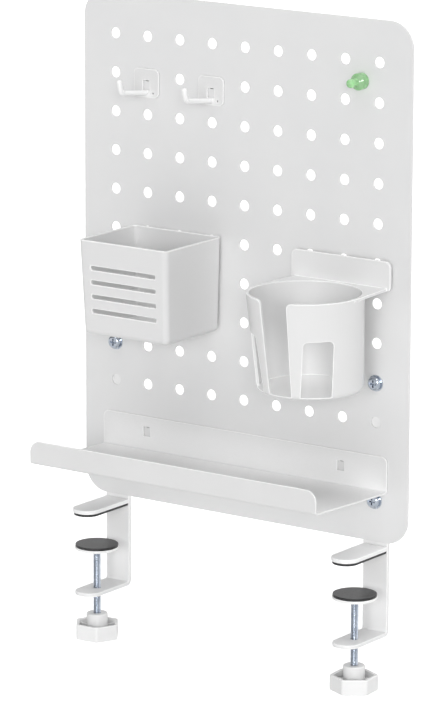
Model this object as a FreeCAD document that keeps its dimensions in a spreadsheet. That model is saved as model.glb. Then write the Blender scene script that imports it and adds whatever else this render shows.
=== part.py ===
import FreeCAD, Part
import os
import Sketcher
from FreeCAD import Placement, Rotation, Vector

# A desk pegboard on two edge clamps, with a pen box, a cup holder, a tray, two hooks and a magnetic pin.
# Millimetres. +X is right and -Y is towards the person at the desk. z = 0 is the desk top, where the
# upper jaw pads press on it, and y = 0 is the desk's edge, where the clamp strips stand against it.

SIZES = [
    # pegboard panel
    ("hole_pitch", 30.0, "centre to centre of the peg holes, both ways"),
    ("hole_diameter", 8.4, "peg hole"),
    ("hole_columns", 9, "peg holes across"),
    ("hole_rows", 12, "peg holes up"),
    ("panel_side_margin", 29.5, "outer hole column to the panel's side"),
    ("panel_top_margin", 31.5, "top hole row to the panel's top"),
    ("panel_foot_margin", 31.5, "bottom hole row to the panel's foot"),
    ("panel_thickness", 1.2, "sheet steel of the panel"),
    ("panel_corner", 20.0, "corner radius of the panel"),
    ("panel_jaw_gap", 2.9, "panel foot to the welded jaws"),
    # clamp frames and jaws
    ("strip_width", 22.0, "clamp strip, across"),
    ("strip_thickness", 3.0, "clamp strip and lower arm"),
    ("strip_top_rise", 13.0, "upper panel screw to the strip's top"),
    ("strip_corner", 4.0, "strip's top corners"),
    ("upper_screw_row", 3, "hole row of the upper panel screw, from the foot row"),
    ("clamp_column", 4, "hole column of a clamp, from the middle column"),
    ("arm_drop", 61.3, "desk top to the lower arm's upper face"),
    ("arm_reach", 47.5, "strip's front to the lower arm's tip"),
    ("arm_tip_radius", 10.5, "round tip of the lower arm"),
    ("bend_inner_radius", 1.5, "inner radius of the strip's bend"),
    ("jaw_thickness", 3.2, "welded upper jaw"),
    ("jaw_reach", 50.0, "strip's front to the upper jaw's tip"),
    ("jaw_edge_round", 0.6, "edge rounding of the upper jaw"),
    ("jaw_pad_thickness", 2.0, "rubber pad under the upper jaw"),
    ("jaw_pad_inset", 0.8, "pad's edge inside the jaw's edge"),
    # panel screws
    ("bolt_diameter", 5.0, "panel screw thread"),
    ("bolt_head_diameter", 10.4, "pan head"),
    ("bolt_head_height", 3.4, "pan head"),
    ("bolt_head_round", 1.8, "crown rounding of the pan head"),
    ("bolt_tail", 1.5, "screw end past its nut"),
    ("recess_width", 1.2, "arm width of the cross recess"),
    ("recess_span", 5.4, "cross recess, tip to tip"),
    ("recess_depth", 1.6, "cross recess"),
    ("bolt_hole_clearance", 0.25, "radial, in washer and strip"),
    ("washer_diameter", 12.4, "washer under the pan head"),
    ("washer_thickness", 1.0, "washer under the pan head"),
    ("nut_flats", 8.0, "hex nut, across flats"),
    ("nut_height", 4.0, "hex nut"),
    # clamp spindle, pressure disc and knob
    ("spindle_setback", 27.0, "strip's front to the spindle's axis"),
    ("spindle_diameter", 6.0, "clamp screw thread"),
    ("spindle_clearance", 0.05, "radial, in the lower arm's tapped hole"),
    ("spindle_show", 48.5, "spindle between the disc's boss and the knob"),
    ("spindle_head_flats", 10.0, "hex head sunk in the knob"),
    ("spindle_head_height", 4.0, "hex head sunk in the knob"),
    ("jaw_opening", 26.0, "rubber to rubber, as stored"),
    ("disc_diameter", 34.0, "pressure disc"),
    ("disc_thickness", 2.2, "pressure disc"),
    ("disc_edge_round", 1.0, "lower edge of the pressure disc"),
    ("disc_pad_thickness", 2.0, "rubber on the pressure disc"),
    ("disc_pad_inset", 0.4, "rubber's edge inside the disc's edge"),
    ("boss_diameter", 9.0, "boss under the pressure disc"),
    ("boss_height", 2.8, "boss under the pressure disc"),
    ("swivel_diameter", 4.0, "turned-down spindle end in the boss"),
    ("swivel_clearance", 0.06, "radial, spindle end in the boss"),
    ("swivel_play", 0.1, "axial, either side of the boss"),
    ("rivet_diameter", 6.0, "flared spindle end above the boss"),
    ("rivet_thickness", 0.9, "flared spindle end above the boss"),
    ("rivet_side_gap", 0.4, "flared end inside its recess"),
    ("rivet_recess_depth", 1.4, "recess for the flared end"),
    ("knob_flats", 32.0, "hexagonal rim, across flats"),
    ("knob_rim_height", 12.0, "hexagonal rim"),
    ("knob_rim_wall", 2.4, "hexagonal rim"),
    ("knob_floor", 2.6, "floor between hub and rim"),
    ("knob_corner", 2.5, "rounding of the rim's corners"),
    ("knob_edge_round", 1.0, "rounding of the rim's lower edge and the hub's top"),
    ("knob_hub_diameter", 16.6, "hub"),
    ("knob_hub_height", 19.7, "hub, from the rim's foot"),
    ("knob_web", 1.8, "webs between hub and rim"),
    ("knob_web_drop", 2.5, "webs below the rim's top"),
    ("knob_turn_left", 5.2, "degrees the left knob is turned"),
    ("knob_turn_right", 35.2, "degrees the right knob is turned"),
    # pegs and tongues that hang the accessories
    ("tongue_width", 5.0, "lanced sheet tongue"),
    ("tongue_grip", 3.9, "tongue below the rim of its hole"),
    ("tongue_gap", 0.4, "tongue behind the panel's back"),
    ("tongue_window_side", 0.7, "window beyond each side of the tongue"),
    ("tongue_window_height", 7.6, "window that the tongue was bent out of"),
    ("peg_width", 5.0, "moulded peg"),
    ("peg_neck_height", 2.2, "moulded peg"),
    ("peg_tip_thickness", 2.2, "moulded peg's turned-down tip"),
    ("peg_grip", 3.9, "peg tip below the rim of its hole"),
    ("peg_span_columns", 2, "hole columns between a moulded part's two pegs"),
    ("accessory_row", 6, "hole row of the pen box and the cup holder, from the foot row"),
    ("moulded_gap", 1.8, "moulded part's back to the panel"),
    ("seat_gap", 0.2, "sheet parts and standoffs to the panel"),
    # pen box
    ("box_column", -2, "hole column of the pen box, from the middle column"),
    ("box_width", 82.0, "pen box mouth, across"),
    ("box_depth", 71.5, "pen box mouth, front to back"),
    ("box_rise", 4.4, "peg row to the box's rim"),
    ("box_height", 73.0, "pen box"),
    ("box_wall", 1.9, "pen box wall"),
    ("box_floor", 2.0, "pen box floor"),
    ("box_side_draft", 2.0, "each side leans in by this at the floor"),
    ("box_front_draft", 3.8, "the front leans in by this at the floor"),
    ("box_corner", 4.5, "outer corners and the floor's edge"),
    ("box_slot_length", 60.0, "front slots"),
    ("box_slot_height", 3.4, "front slots"),
    ("box_slot_pitch", 11.1, "front slots, centre to centre"),
    ("box_slot_count", 4, "front slots"),
    ("box_slot_drop", 20.8, "rim to the first slot's centre"),
    ("box_slot_corner", 0.9, "slot corners"),
    ("standoff_width", 8.0, "standoff ribs low on the box's back"),
    ("standoff_height", 4.0, "standoff ribs low on the box's back"),
    ("standoff_rise", 8.0, "box's foot to the standoff ribs"),
    # cup holder
    ("cup_column", 3, "hole column of the cup holder, from the middle column"),
    ("cup_mouth", 88.0, "outer diameter at the rim"),
    ("cup_foot", 80.0, "outer diameter at the foot"),
    ("cup_foot_shift", 7.5, "foot's centre nearer the panel than the rim's"),
    ("cup_height", 74.0, "rim to foot"),
    ("cup_wall", 2.4, "cup wall"),
    ("cup_floor", 2.0, "cup floor"),
    ("cup_foot_round", 4.5, "edge of the cup's foot"),
    ("cup_rim_drop", 16.4, "peg row to the rim"),
    ("cup_plate_rise", 3.7, "peg row to the back plate's top"),
    ("cup_plate_thickness", 2.2, "back plate"),
    ("cup_plate_corner", 5.0, "back plate's top corners"),
    ("cup_plate_gap", 1.7, "cup's back wall to the back plate, at the rim"),
    ("cup_web_thickness", 2.2, "flat web between plate and rim"),
    ("cup_web_inset", 3.0, "web's root inside the plate's ends"),
    ("cup_slot_top", 22.8, "front slot's width at the rim"),
    ("cup_slot_foot", 19.0, "front slot's width at the floor"),
    ("cup_slot_round", 4.0, "rounding of the slot's mouth"),
    ("cup_window_width", 22.6, "side windows"),
    ("cup_window_drop", 29.0, "rim to the windows' top"),
    ("cup_window_corner", 4.0, "windows' top corners"),
    ("cup_window_angle", 49.0, "windows either side of the slot, degrees"),
    ("cup_trim", 8.0, "cone drawn beyond rim and foot before both are cut level"),
    ("cup_spine_width", 4.0, "spine rib between the cup's back and the panel"),
    # tray
    ("tray_row", 1, "hole row of the tray, from the foot row"),
    ("tray_tongue_columns", 6, "hole columns between the tray's tongues"),
    ("tray_width", 262.4, "tray"),
    ("tray_depth", 95.0, "panel to the lip's face"),
    ("tray_rise", 4.8, "tongue row to the back's top"),
    ("tray_drop", 23.2, "tongue row to the tray's underside"),
    ("tray_floor_lift", 3.5, "floor's climb to the lip"),
    ("tray_lip", 18.4, "front lip"),
    ("tray_thickness", 1.2, "sheet steel of the tray"),
    ("tray_back_corner", 5.0, "back's top corners"),
    ("tray_lip_corner", 9.0, "lip's top corners"),
    ("tray_bend_inner", 1.4, "inner radius of the bends"),
    # hooks
    ("hook_row", 10, "hole row of the hooks, from the foot row"),
    ("hook_left_column", -3, "hole column of the left hook, from the middle column"),
    ("hook_right_column", -1, "hole column of the right hook, from the middle column"),
    ("hook_plate_width", 23.0, "hook plate"),
    ("hook_plate_rise", 5.5, "hole centre to the plate's top"),
    ("hook_plate_drop", 16.4, "hole centre to the plate's foot"),
    ("hook_plate_thickness", 1.2, "sheet steel of the hook plate"),
    ("hook_plate_corner", 4.0, "hook plate's corners"),
    ("hook_dot_diameter", 1.5, "hanging hole of the paint line"),
    ("hook_dot_side", 6.2, "hanging hole, right of the rod"),
    ("hook_rod_diameter", 4.0, "hook rod"),
    ("hook_rod_drop", 13.0, "hole centre to the rod's root"),
    ("hook_rod_reach", 31.5, "plate to the elbow's middle"),
    ("hook_rod_climb", 3.8, "root to elbow"),
    ("hook_tip_reach", 2.8, "tip further out than the elbow"),
    ("hook_tip_rise", 10.2, "elbow to tip"),
    ("hook_elbow_radius", 4.0, "bend of the rod's middle line"),
    ("hook_tip_round", 1.5, "rounding of the rod's end"),
    # magnetic pin
    ("pin_side", 105.0, "middle column to the pin"),
    ("pin_row_offset", 10.5, "hole rows from the foot row to the pin"),
    ("pin_base_diameter", 12.6, "pin's base"),
    ("pin_base_height", 6.0, "pin's base"),
    ("pin_waist_diameter", 5.4, "pin's waist"),
    ("pin_waist_height", 8.6, "panel to the waist"),
    ("pin_grip_diameter", 6.6, "pin's grip"),
    ("pin_length", 18.0, "panel to the grip's end"),
    ("pin_grip_round", 2.9, "rounding of the grip's end"),
    ("pin_base_round", 1.2, "rounding of the base's edge"),
    ("magnet_diameter", 9.0, "magnet in the pin's base"),
    ("magnet_thickness", 3.0, "magnet in the pin's base"),
]

doc = FreeCAD.newDocument("pegboard_organizer")
sizes = doc.addObject("Spreadsheet::Sheet", "sizes")
for line, (alias, value, meaning) in enumerate(SIZES, start=1):
    sizes.set("A%d" % line, meaning)
    sizes.set("B%d" % line, str(value))
    sizes.setAlias("B%d" % line, alias)
doc.recompute()

# ---- expressions that several pieces share

PANEL_FOOT = "(sizes.jaw_pad_thickness + sizes.jaw_thickness + sizes.panel_jaw_gap)"
FOOT_ROW = "(%s + sizes.panel_foot_margin)" % PANEL_FOOT
PANEL_TOP = "(%s + (sizes.hole_rows - 1) * sizes.hole_pitch + sizes.panel_top_margin)" % FOOT_ROW
OUTER_COLUMN = "((sizes.hole_columns - 1) * sizes.hole_pitch / 2)"
PANEL_HALF = "(%s + sizes.panel_side_margin)" % OUTER_COLUMN
UPPER_BOLT = "(%s + sizes.upper_screw_row * sizes.hole_pitch)" % FOOT_ROW
STRIP_TOP = "(%s + sizes.strip_top_rise)" % UPPER_BOLT
ARM_TOP = "(-sizes.arm_drop)"
ARM_FOOT = "(-sizes.arm_drop - sizes.strip_thickness)"
CLAMP_X = "(sizes.clamp_column * sizes.hole_pitch)"
DISC_TOP = "(-sizes.jaw_opening - sizes.disc_pad_thickness)"
BOSS_DEPTH = "(sizes.disc_thickness + sizes.boss_height)"
KNOB_TOP = "(-%s - sizes.spindle_show)" % BOSS_DEPTH
BOLT_RADIUS = "(sizes.bolt_diameter / 2)"
BOLT_SEAT = "(sizes.panel_thickness + sizes.washer_thickness)"
SIDES = (("left", "-1"), ("right", "1"))


def value_of(expression):
    """Number that an expression on the sheet stands for."""
    return float(sizes.evalExpression(expression))


def row_height(rows):
    """Height of a hole row, counted up from the foot row."""
    return "(%s + %s * sizes.hole_pitch)" % (FOOT_ROW, rows)


# ---- helpers for bodies, sketches and features


def new_body(name):
    """Empty body with the node's name as its label."""
    body = doc.addObject("PartDesign::Body", name)
    body.Label = name
    return body


def place(body, right, back, up):
    """Ties the body's place to the sheet."""
    body.setExpression("Placement.Base.x", right)
    body.setExpression("Placement.Base.y", back)
    body.setExpression("Placement.Base.z", up)


def new_sketch(body, name, plane, offset="0"):
    """Sketch on one of the body's own origin planes, moved along that plane's normal."""
    sketch = body.newObject("Sketcher::SketchObject", name)
    support = [item for item in body.Origin.OriginFeatures if item.Role == plane][0]
    sketch.AttachmentSupport = [(support, "")]
    sketch.MapMode = "FlatFace"
    sketch.setExpression("AttachmentOffset.Base.z", offset)
    return sketch


def pin_point(sketch, geometry, point, across, up):
    """Ties one point of a sketch to two expressions."""
    for kind, axis, expression in (("DistanceX", -2, across), ("DistanceY", -1, up)):
        if expression == "0":
            sketch.addConstraint(Sketcher.Constraint("PointOnObject", geometry, point, axis))
            continue
        pinned = Sketcher.Constraint(kind, -1, 1, geometry, point, value_of(expression))
        index = sketch.addConstraint(pinned)
        sketch.setExpression("Constraints[%d]" % index, expression)


def outline(sketch, corners):
    """Closed line through the corners. A corner is (across, up), or (across, up, centre across,
    centre up, turn) where an arc leads on from it: turn is 1 anticlockwise and -1 clockwise."""
    first = sketch.GeometryCount
    places = [Vector(value_of(corner[0]), value_of(corner[1]), 0) for corner in corners]
    starts = []
    ends = []
    for number, corner in enumerate(corners):
        here = places[number]
        there = places[(number + 1) % len(places)]
        if len(corner) == 2:
            sketch.addGeometry(Part.LineSegment(here, there))
            starts.append(1)
            ends.append(2)
            continue
        centre = Vector(value_of(corner[2]), value_of(corner[3]), 0)
        circle = Part.Circle(centre, Vector(0, 0, 1), (here - centre).Length)
        if corner[4] > 0:
            sketch.addGeometry(Part.ArcOfCircle(circle, circle.parameter(here), circle.parameter(there)))
            starts.append(1)
            ends.append(2)
        else:
            sketch.addGeometry(Part.ArcOfCircle(circle, circle.parameter(there), circle.parameter(here)))
            starts.append(2)
            ends.append(1)
    for number, corner in enumerate(corners):
        after = (number + 1) % len(corners)
        joined = Sketcher.Constraint("Coincident", first + number, ends[number], first + after, starts[after])
        sketch.addConstraint(joined)
        pin_point(sketch, first + number, starts[number], corner[0], corner[1])
        if len(corner) == 5:
            centred = Sketcher.Constraint("DistanceX", -1, 1, first + number, 3, value_of(corner[2]))
            index = sketch.addConstraint(centred)
            sketch.setExpression("Constraints[%d]" % index, corner[2])


def rectangle(sketch, left, right, low, high):
    """Closed rectangle between four expressions."""
    outline(sketch, [(left, low), (right, low), (right, high), (left, high)])


def slot_outline(sketch, half, low, high, corner):
    """Rectangle about the sketch's upright axis with all four corners rounded."""
    inner = "(%s - %s)" % (half, corner)
    below = "(%s + %s)" % (low, corner)
    above = "(%s - %s)" % (high, corner)
    outline(sketch, [
        ("-" + inner, low), (inner, low, inner, below, 1),
        (half, below), (half, above, inner, above, 1),
        (inner, high), ("-" + inner, high, "-" + inner, above, 1),
        ("-" + half, above), ("-" + half, below, "-" + inner, below, 1),
    ])


def circle(sketch, across, up, radius):
    """Circle with its centre and radius tied to expressions."""
    centre = Vector(value_of(across), value_of(up), 0)
    geometry = sketch.addGeometry(Part.Circle(centre, Vector(0, 0, 1), value_of(radius)))
    pin_point(sketch, geometry, 3, across, up)
    index = sketch.addConstraint(Sketcher.Constraint("Radius", geometry, value_of(radius)))
    sketch.setExpression("Constraints[%d]" % index, radius)


def hexagon(sketch, flats):
    """Hexagon about the sketch's origin, with corners on its first axis."""
    corner = "(%s / sqrt(3))" % flats
    half = "(%s / sqrt(3) / 2)" % flats
    side = "(%s / 2)" % flats
    outline(sketch, [
        (corner, "0"), (half, side), ("-" + half, side),
        ("-" + corner, "0"), ("-" + half, "-" + side), (half, "-" + side),
    ])


def pad(body, name, sketch, length, both_ways=False, backwards=False):
    """Pad of a sketch along its normal, or evenly to both sides of it."""
    feature = body.newObject("PartDesign::Pad", name)
    feature.Profile = sketch
    feature.setExpression("Length", length)
    feature.SideType = "Symmetric" if both_ways else "One side"
    feature.Reversed = backwards
    doc.recompute()
    return feature


def pocket(body, name, sketch, depth=None, along_normal=False):
    """Pocket against the sketch's normal, or along it, through all where no depth is given."""
    before = body.Shape.Volume
    feature = body.newObject("PartDesign::Pocket", name)
    feature.Profile = sketch
    if depth is None:
        feature.Type = "ThroughAll"
    else:
        feature.setExpression("Length", depth)
    feature.Reversed = along_normal
    doc.recompute()
    if feature.Shape.Volume >= before:
        raise ValueError(name + " cuts nothing")
    return feature


def revolution(body, name, sketch):
    """Full turn of a sketch about its own upright axis."""
    feature = body.newObject("PartDesign::Revolution", name)
    feature.Profile = sketch
    feature.ReferenceAxis = (sketch, ["V_Axis"])
    feature.Angle = 360
    doc.recompute()
    return feature


def loft(body, name, kind, upper, lower):
    """Straight loft from an upper sketch down to a lower one: AdditiveLoft or SubtractiveLoft. In the
    other order the solid comes out inside out."""
    feature = body.newObject("PartDesign::" + kind, name)
    feature.Profile = upper
    feature.Sections = [lower]
    feature.Ruled = True
    doc.recompute()
    return feature


def round_edges(body, name, radius, wanted):
    """Fillet of those edges of the body's tip whose middle and direction pass the test."""
    base = body.Tip
    names = []
    for number, edge in enumerate(base.Shape.Edges, start=1):
        middle = edge.valueAt((edge.FirstParameter + edge.LastParameter) / 2)
        run = edge.Vertexes[-1].Point - edge.Vertexes[0].Point
        if wanted(middle, run):
            names.append("Edge%d" % number)
    feature = body.newObject("PartDesign::Fillet", name)
    feature.Base = (base, names)
    feature.setExpression("Radius", radius)
    doc.recompute()
    return feature


def near(one, other):
    """True where two numbers are the same size."""
    return abs(one - other) < 1e-3


def along(run, axis):
    """True where an edge runs along one axis: 0, 1 or 2 for x, y or z."""
    return run.Length > 1e-3 and near(abs(run[axis]), run.Length)


# ---- pegboard panel


def make_panel():
    """Sheet steel panel with round corners and its grid of peg holes."""
    body = new_body("pegboard_panel")
    sheet = new_sketch(body, "panel_outline", "XZ_Plane")
    rectangle(sheet, "-" + PANEL_HALF, PANEL_HALF, PANEL_FOOT, PANEL_TOP)
    pad(body, "panel_sheet", sheet, "sizes.panel_thickness")
    round_edges(body, "panel_corners", "sizes.panel_corner", lambda middle, run: along(run, 1))
    hole = new_sketch(body, "panel_hole", "XZ_Plane", "sizes.panel_thickness")
    circle(hole, "-" + OUTER_COLUMN, FOOT_ROW, "sizes.hole_diameter / 2")
    first = pocket(body, "panel_first_hole", hole, "sizes.panel_thickness")
    grid = body.newObject("PartDesign::MultiTransform", "panel_holes")
    grid.Originals = [first]
    steps = []
    for name, axis, count in (("across", "H_Axis", "hole_columns"), ("up", "V_Axis", "hole_rows")):
        step = body.newObject("PartDesign::LinearPattern", "panel_holes_" + name)
        step.Direction = (hole, [axis])
        step.setExpression("Length", "(sizes.%s - 1) * sizes.hole_pitch" % count)
        step.setExpression("Occurrences", "sizes." + count)
        steps.append(step)
    grid.Transformations = steps
    body.Tip = grid
    doc.recompute()
    return body


# ---- clamp frames, welded jaws and their pads


def make_clamp_frame(side, sign):
    """Steel strip bolted behind the panel, bent forward at its foot into the tapped lower arm."""
    body = new_body(side + "_clamp_frame")
    profile = new_sketch(body, side + "_frame_profile", "YZ_Plane")
    outline(profile, [
        ("0", STRIP_TOP), ("0", ARM_TOP), ("-sizes.arm_reach", ARM_TOP), ("-sizes.arm_reach", ARM_FOOT),
        ("sizes.strip_thickness", ARM_FOOT), ("sizes.strip_thickness", STRIP_TOP),
    ])
    pad(body, side + "_frame_strip", profile, "sizes.strip_width", both_ways=True)
    inner = value_of(ARM_TOP)
    outer = value_of(ARM_FOOT)
    top = value_of(STRIP_TOP)
    tip = -value_of("sizes.arm_reach")
    round_edges(body, side + "_frame_inner_bend", "sizes.bend_inner_radius",
                lambda middle, run: along(run, 0) and near(middle.y, 0) and near(middle.z, inner))
    round_edges(body, side + "_frame_outer_bend", "sizes.bend_inner_radius + sizes.strip_thickness",
                lambda middle, run: along(run, 0) and middle.y > 0 and near(middle.z, outer))
    round_edges(body, side + "_frame_tip", "sizes.arm_tip_radius",
                lambda middle, run: along(run, 2) and near(middle.y, tip))
    round_edges(body, side + "_frame_top", "sizes.strip_corner",
                lambda middle, run: along(run, 1) and near(middle.z, top))
    tapped = new_sketch(body, side + "_frame_tapped_hole", "XY_Plane", ARM_TOP)
    circle(tapped, "0", "-sizes.spindle_setback", "sizes.spindle_diameter / 2 + sizes.spindle_clearance")
    pocket(body, side + "_frame_tapping", tapped, "sizes.strip_thickness")
    for name, height in (("lower", FOOT_ROW), ("upper", UPPER_BOLT)):
        hole = new_sketch(body, "%s_frame_%s_hole" % (side, name), "XZ_Plane")
        circle(hole, "0", height, BOLT_RADIUS + " + sizes.bolt_hole_clearance")
        pocket(body, "%s_frame_%s_drilling" % (side, name), hole, "sizes.strip_thickness")
    place(body, "%s * %s" % (sign, CLAMP_X), "0", "0")
    return body


def make_upper_jaw(side, sign):
    """Round-ended jaw welded to the strip's front, just under the panel."""
    body = new_body(side + "_upper_jaw")
    plan = new_sketch(body, side + "_jaw_plan", "XY_Plane", "sizes.jaw_pad_thickness")
    rectangle(plan, "-sizes.strip_width / 2", "sizes.strip_width / 2", "-sizes.jaw_reach", "0")
    pad(body, side + "_jaw_plate", plan, "sizes.jaw_thickness")
    tip = -value_of("sizes.jaw_reach")
    round_edges(body, side + "_jaw_tip", "sizes.arm_tip_radius",
                lambda middle, run: along(run, 2) and near(middle.y, tip))
    round_edges(body, side + "_jaw_edges", "sizes.jaw_edge_round",
                lambda middle, run: not along(run, 2) and not near(middle.y, 0))
    place(body, "%s * %s" % (sign, CLAMP_X), "0", "0")
    return body


def make_jaw_pad(side, sign):
    """Rubber pad under the upper jaw, resting on the desk top."""
    body = new_body(side + "_jaw_pad")
    half = "(sizes.strip_width / 2 - sizes.jaw_pad_inset)"
    reach = "(sizes.jaw_reach - sizes.jaw_pad_inset)"
    plan = new_sketch(body, side + "_jaw_pad_plan", "XY_Plane")
    rectangle(plan, "-" + half, half, "-" + reach, "-sizes.seat_gap")
    pad(body, side + "_jaw_pad_sheet", plan, "sizes.jaw_pad_thickness")
    tip = -value_of(reach)
    round_edges(body, side + "_jaw_pad_tip", "sizes.arm_tip_radius - sizes.jaw_pad_inset",
                lambda middle, run: along(run, 2) and near(middle.y, tip))
    place(body, "%s * %s" % (sign, CLAMP_X), "0", "0")
    return body


# ---- screws, washers and nuts that hold the clamps to the panel


def bolt_places():
    """Names and places of the four panel screws."""
    for side, sign in SIDES:
        for level, height in (("lower", FOOT_ROW), ("upper", UPPER_BOLT)):
            yield "%s_%s" % (side, level), "%s * %s" % (sign, CLAMP_X), height


def make_bolt(name, right, up):
    """Pan head screw along Y with a cross recess, its thread at its outer size."""
    body = new_body("screw_" + name)
    tail = "(sizes.strip_thickness + sizes.nut_height + sizes.bolt_tail)"
    seat = "-" + BOLT_SEAT
    crown = "(-%s - sizes.bolt_head_height)" % BOLT_SEAT
    profile = new_sketch(body, "screw_profile_" + name, "XY_Plane")
    outline(profile, [
        ("0", crown), ("sizes.bolt_head_diameter / 2", crown), ("sizes.bolt_head_diameter / 2", seat),
        (BOLT_RADIUS, seat), (BOLT_RADIUS, tail), ("0", tail),
    ])
    revolution(body, "screw_blank_" + name, profile)
    front = value_of(crown)
    round_edges(body, "screw_crown_" + name, "sizes.bolt_head_round",
                lambda middle, run: near(middle.y, front) and run.Length < 1e-3)
    recess = new_sketch(body, "screw_recess_" + name, "XZ_Plane", "-" + crown)
    arm = "sizes.recess_width / 2"
    reach = "sizes.recess_span / 2"
    outline(recess, [
        (reach, "-" + arm), (reach, arm), (arm, arm), (arm, reach), ("-" + arm, reach), ("-" + arm, arm),
        ("-" + reach, arm), ("-" + reach, "-" + arm), ("-" + arm, "-" + arm), ("-" + arm, "-" + reach),
        (arm, "-" + reach), (arm, "-" + arm),
    ])
    pocket(body, "screw_cross_" + name, recess, "sizes.recess_depth")
    place(body, right, "0", up)
    return body


def make_washer(name, right, up):
    """Flat washer between the pan head and the panel."""
    body = new_body("washer_" + name)
    ring = new_sketch(body, "washer_ring_" + name, "XZ_Plane", "sizes.panel_thickness")
    circle(ring, "0", "0", "sizes.washer_diameter / 2")
    circle(ring, "0", "0", BOLT_RADIUS + " + sizes.bolt_hole_clearance")
    pad(body, "washer_sheet_" + name, ring, "sizes.washer_thickness")
    place(body, right, "0", up)
    return body


def make_nut(name, right, up):
    """Hex nut behind the strip, its thread at the screw's outer size."""
    body = new_body("nut_" + name)
    blank = new_sketch(body, "nut_hexagon_" + name, "XZ_Plane", "-sizes.strip_thickness")
    hexagon(blank, "sizes.nut_flats")
    circle(blank, "0", "0", BOLT_RADIUS)
    pad(body, "nut_blank_" + name, blank, "sizes.nut_height", backwards=True)
    place(body, right, "0", up)
    return body


def make_group(name, make_one):
    """Four alike fasteners as one node of separate solids."""
    group = doc.addObject("Part::Compound", name)
    group.Label = name
    group.Links = [make_one(*where) for where in bolt_places()]
    doc.recompute()
    return group


# ---- pressure disc, its rubber, the clamp screw and the knob: z = 0 is the disc's top face


def make_pressure_disc(side, sign):
    """Round pressure plate with a boss that turns on the clamp screw's end."""
    body = new_body(side + "_pressure_disc")
    profile = new_sketch(body, side + "_disc_profile", "XZ_Plane")
    recess = "(sizes.rivet_diameter / 2 + sizes.rivet_side_gap)"
    bore = "(sizes.swivel_diameter / 2 + sizes.swivel_clearance)"
    outline(profile, [
        (recess, "0"), ("sizes.disc_diameter / 2", "0"), ("sizes.disc_diameter / 2", "-sizes.disc_thickness"),
        ("sizes.boss_diameter / 2", "-sizes.disc_thickness"), ("sizes.boss_diameter / 2", "-" + BOSS_DEPTH),
        (bore, "-" + BOSS_DEPTH), (bore, "-sizes.rivet_recess_depth"), (recess, "-sizes.rivet_recess_depth"),
    ])
    revolution(body, side + "_disc_turned", profile)
    edge = value_of("sizes.disc_diameter / 2")
    low = -value_of("sizes.disc_thickness")
    round_edges(body, side + "_disc_edge", "sizes.disc_edge_round",
                lambda middle, run: near(middle.z, low) and near(middle.x * middle.x + middle.y * middle.y,
                                                                 edge * edge))
    place(body, "%s * %s" % (sign, CLAMP_X), "-sizes.spindle_setback", DISC_TOP)
    return body


def make_disc_pad(side, sign):
    """Rubber face of the pressure disc."""
    body = new_body(side + "_disc_pad")
    face = new_sketch(body, side + "_disc_pad_circle", "XY_Plane")
    circle(face, "0", "0", "sizes.disc_diameter / 2 - sizes.disc_pad_inset")
    pad(body, side + "_disc_pad_sheet", face, "sizes.disc_pad_thickness")
    place(body, "%s * %s" % (sign, CLAMP_X), "-sizes.spindle_setback", DISC_TOP)
    return body


def make_clamp_screw(side, sign):
    """Clamp spindle: flared end in the disc, thread at its outer size, hex head in the knob."""
    body = new_body(side + "_clamp_screw")
    profile = new_sketch(body, side + "_screw_profile", "XZ_Plane")
    under = "(-sizes.rivet_recess_depth + sizes.swivel_play)"
    shoulder = "(-%s - sizes.swivel_play)" % BOSS_DEPTH
    head_top = "(%s - sizes.knob_hub_height + sizes.spindle_head_height)" % KNOB_TOP
    outline(profile, [
        ("0", under + " + sizes.rivet_thickness"),
        ("sizes.rivet_diameter / 2", under + " + sizes.rivet_thickness"),
        ("sizes.rivet_diameter / 2", under), ("sizes.swivel_diameter / 2", under),
        ("sizes.swivel_diameter / 2", shoulder), ("sizes.spindle_diameter / 2", shoulder),
        ("sizes.spindle_diameter / 2", head_top), ("0", head_top),
    ])
    revolution(body, side + "_screw_turned", profile)
    head = new_sketch(body, side + "_screw_hexagon", "XY_Plane", head_top)
    hexagon(head, "sizes.spindle_head_flats")
    pad(body, side + "_screw_head", head, "sizes.spindle_head_height", backwards=True)
    place(body, "%s * %s" % (sign, CLAMP_X), "-sizes.spindle_setback", DISC_TOP)
    body.setExpression("Placement.Rotation.Angle", "sizes.knob_turn_" + side)
    return body


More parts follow.
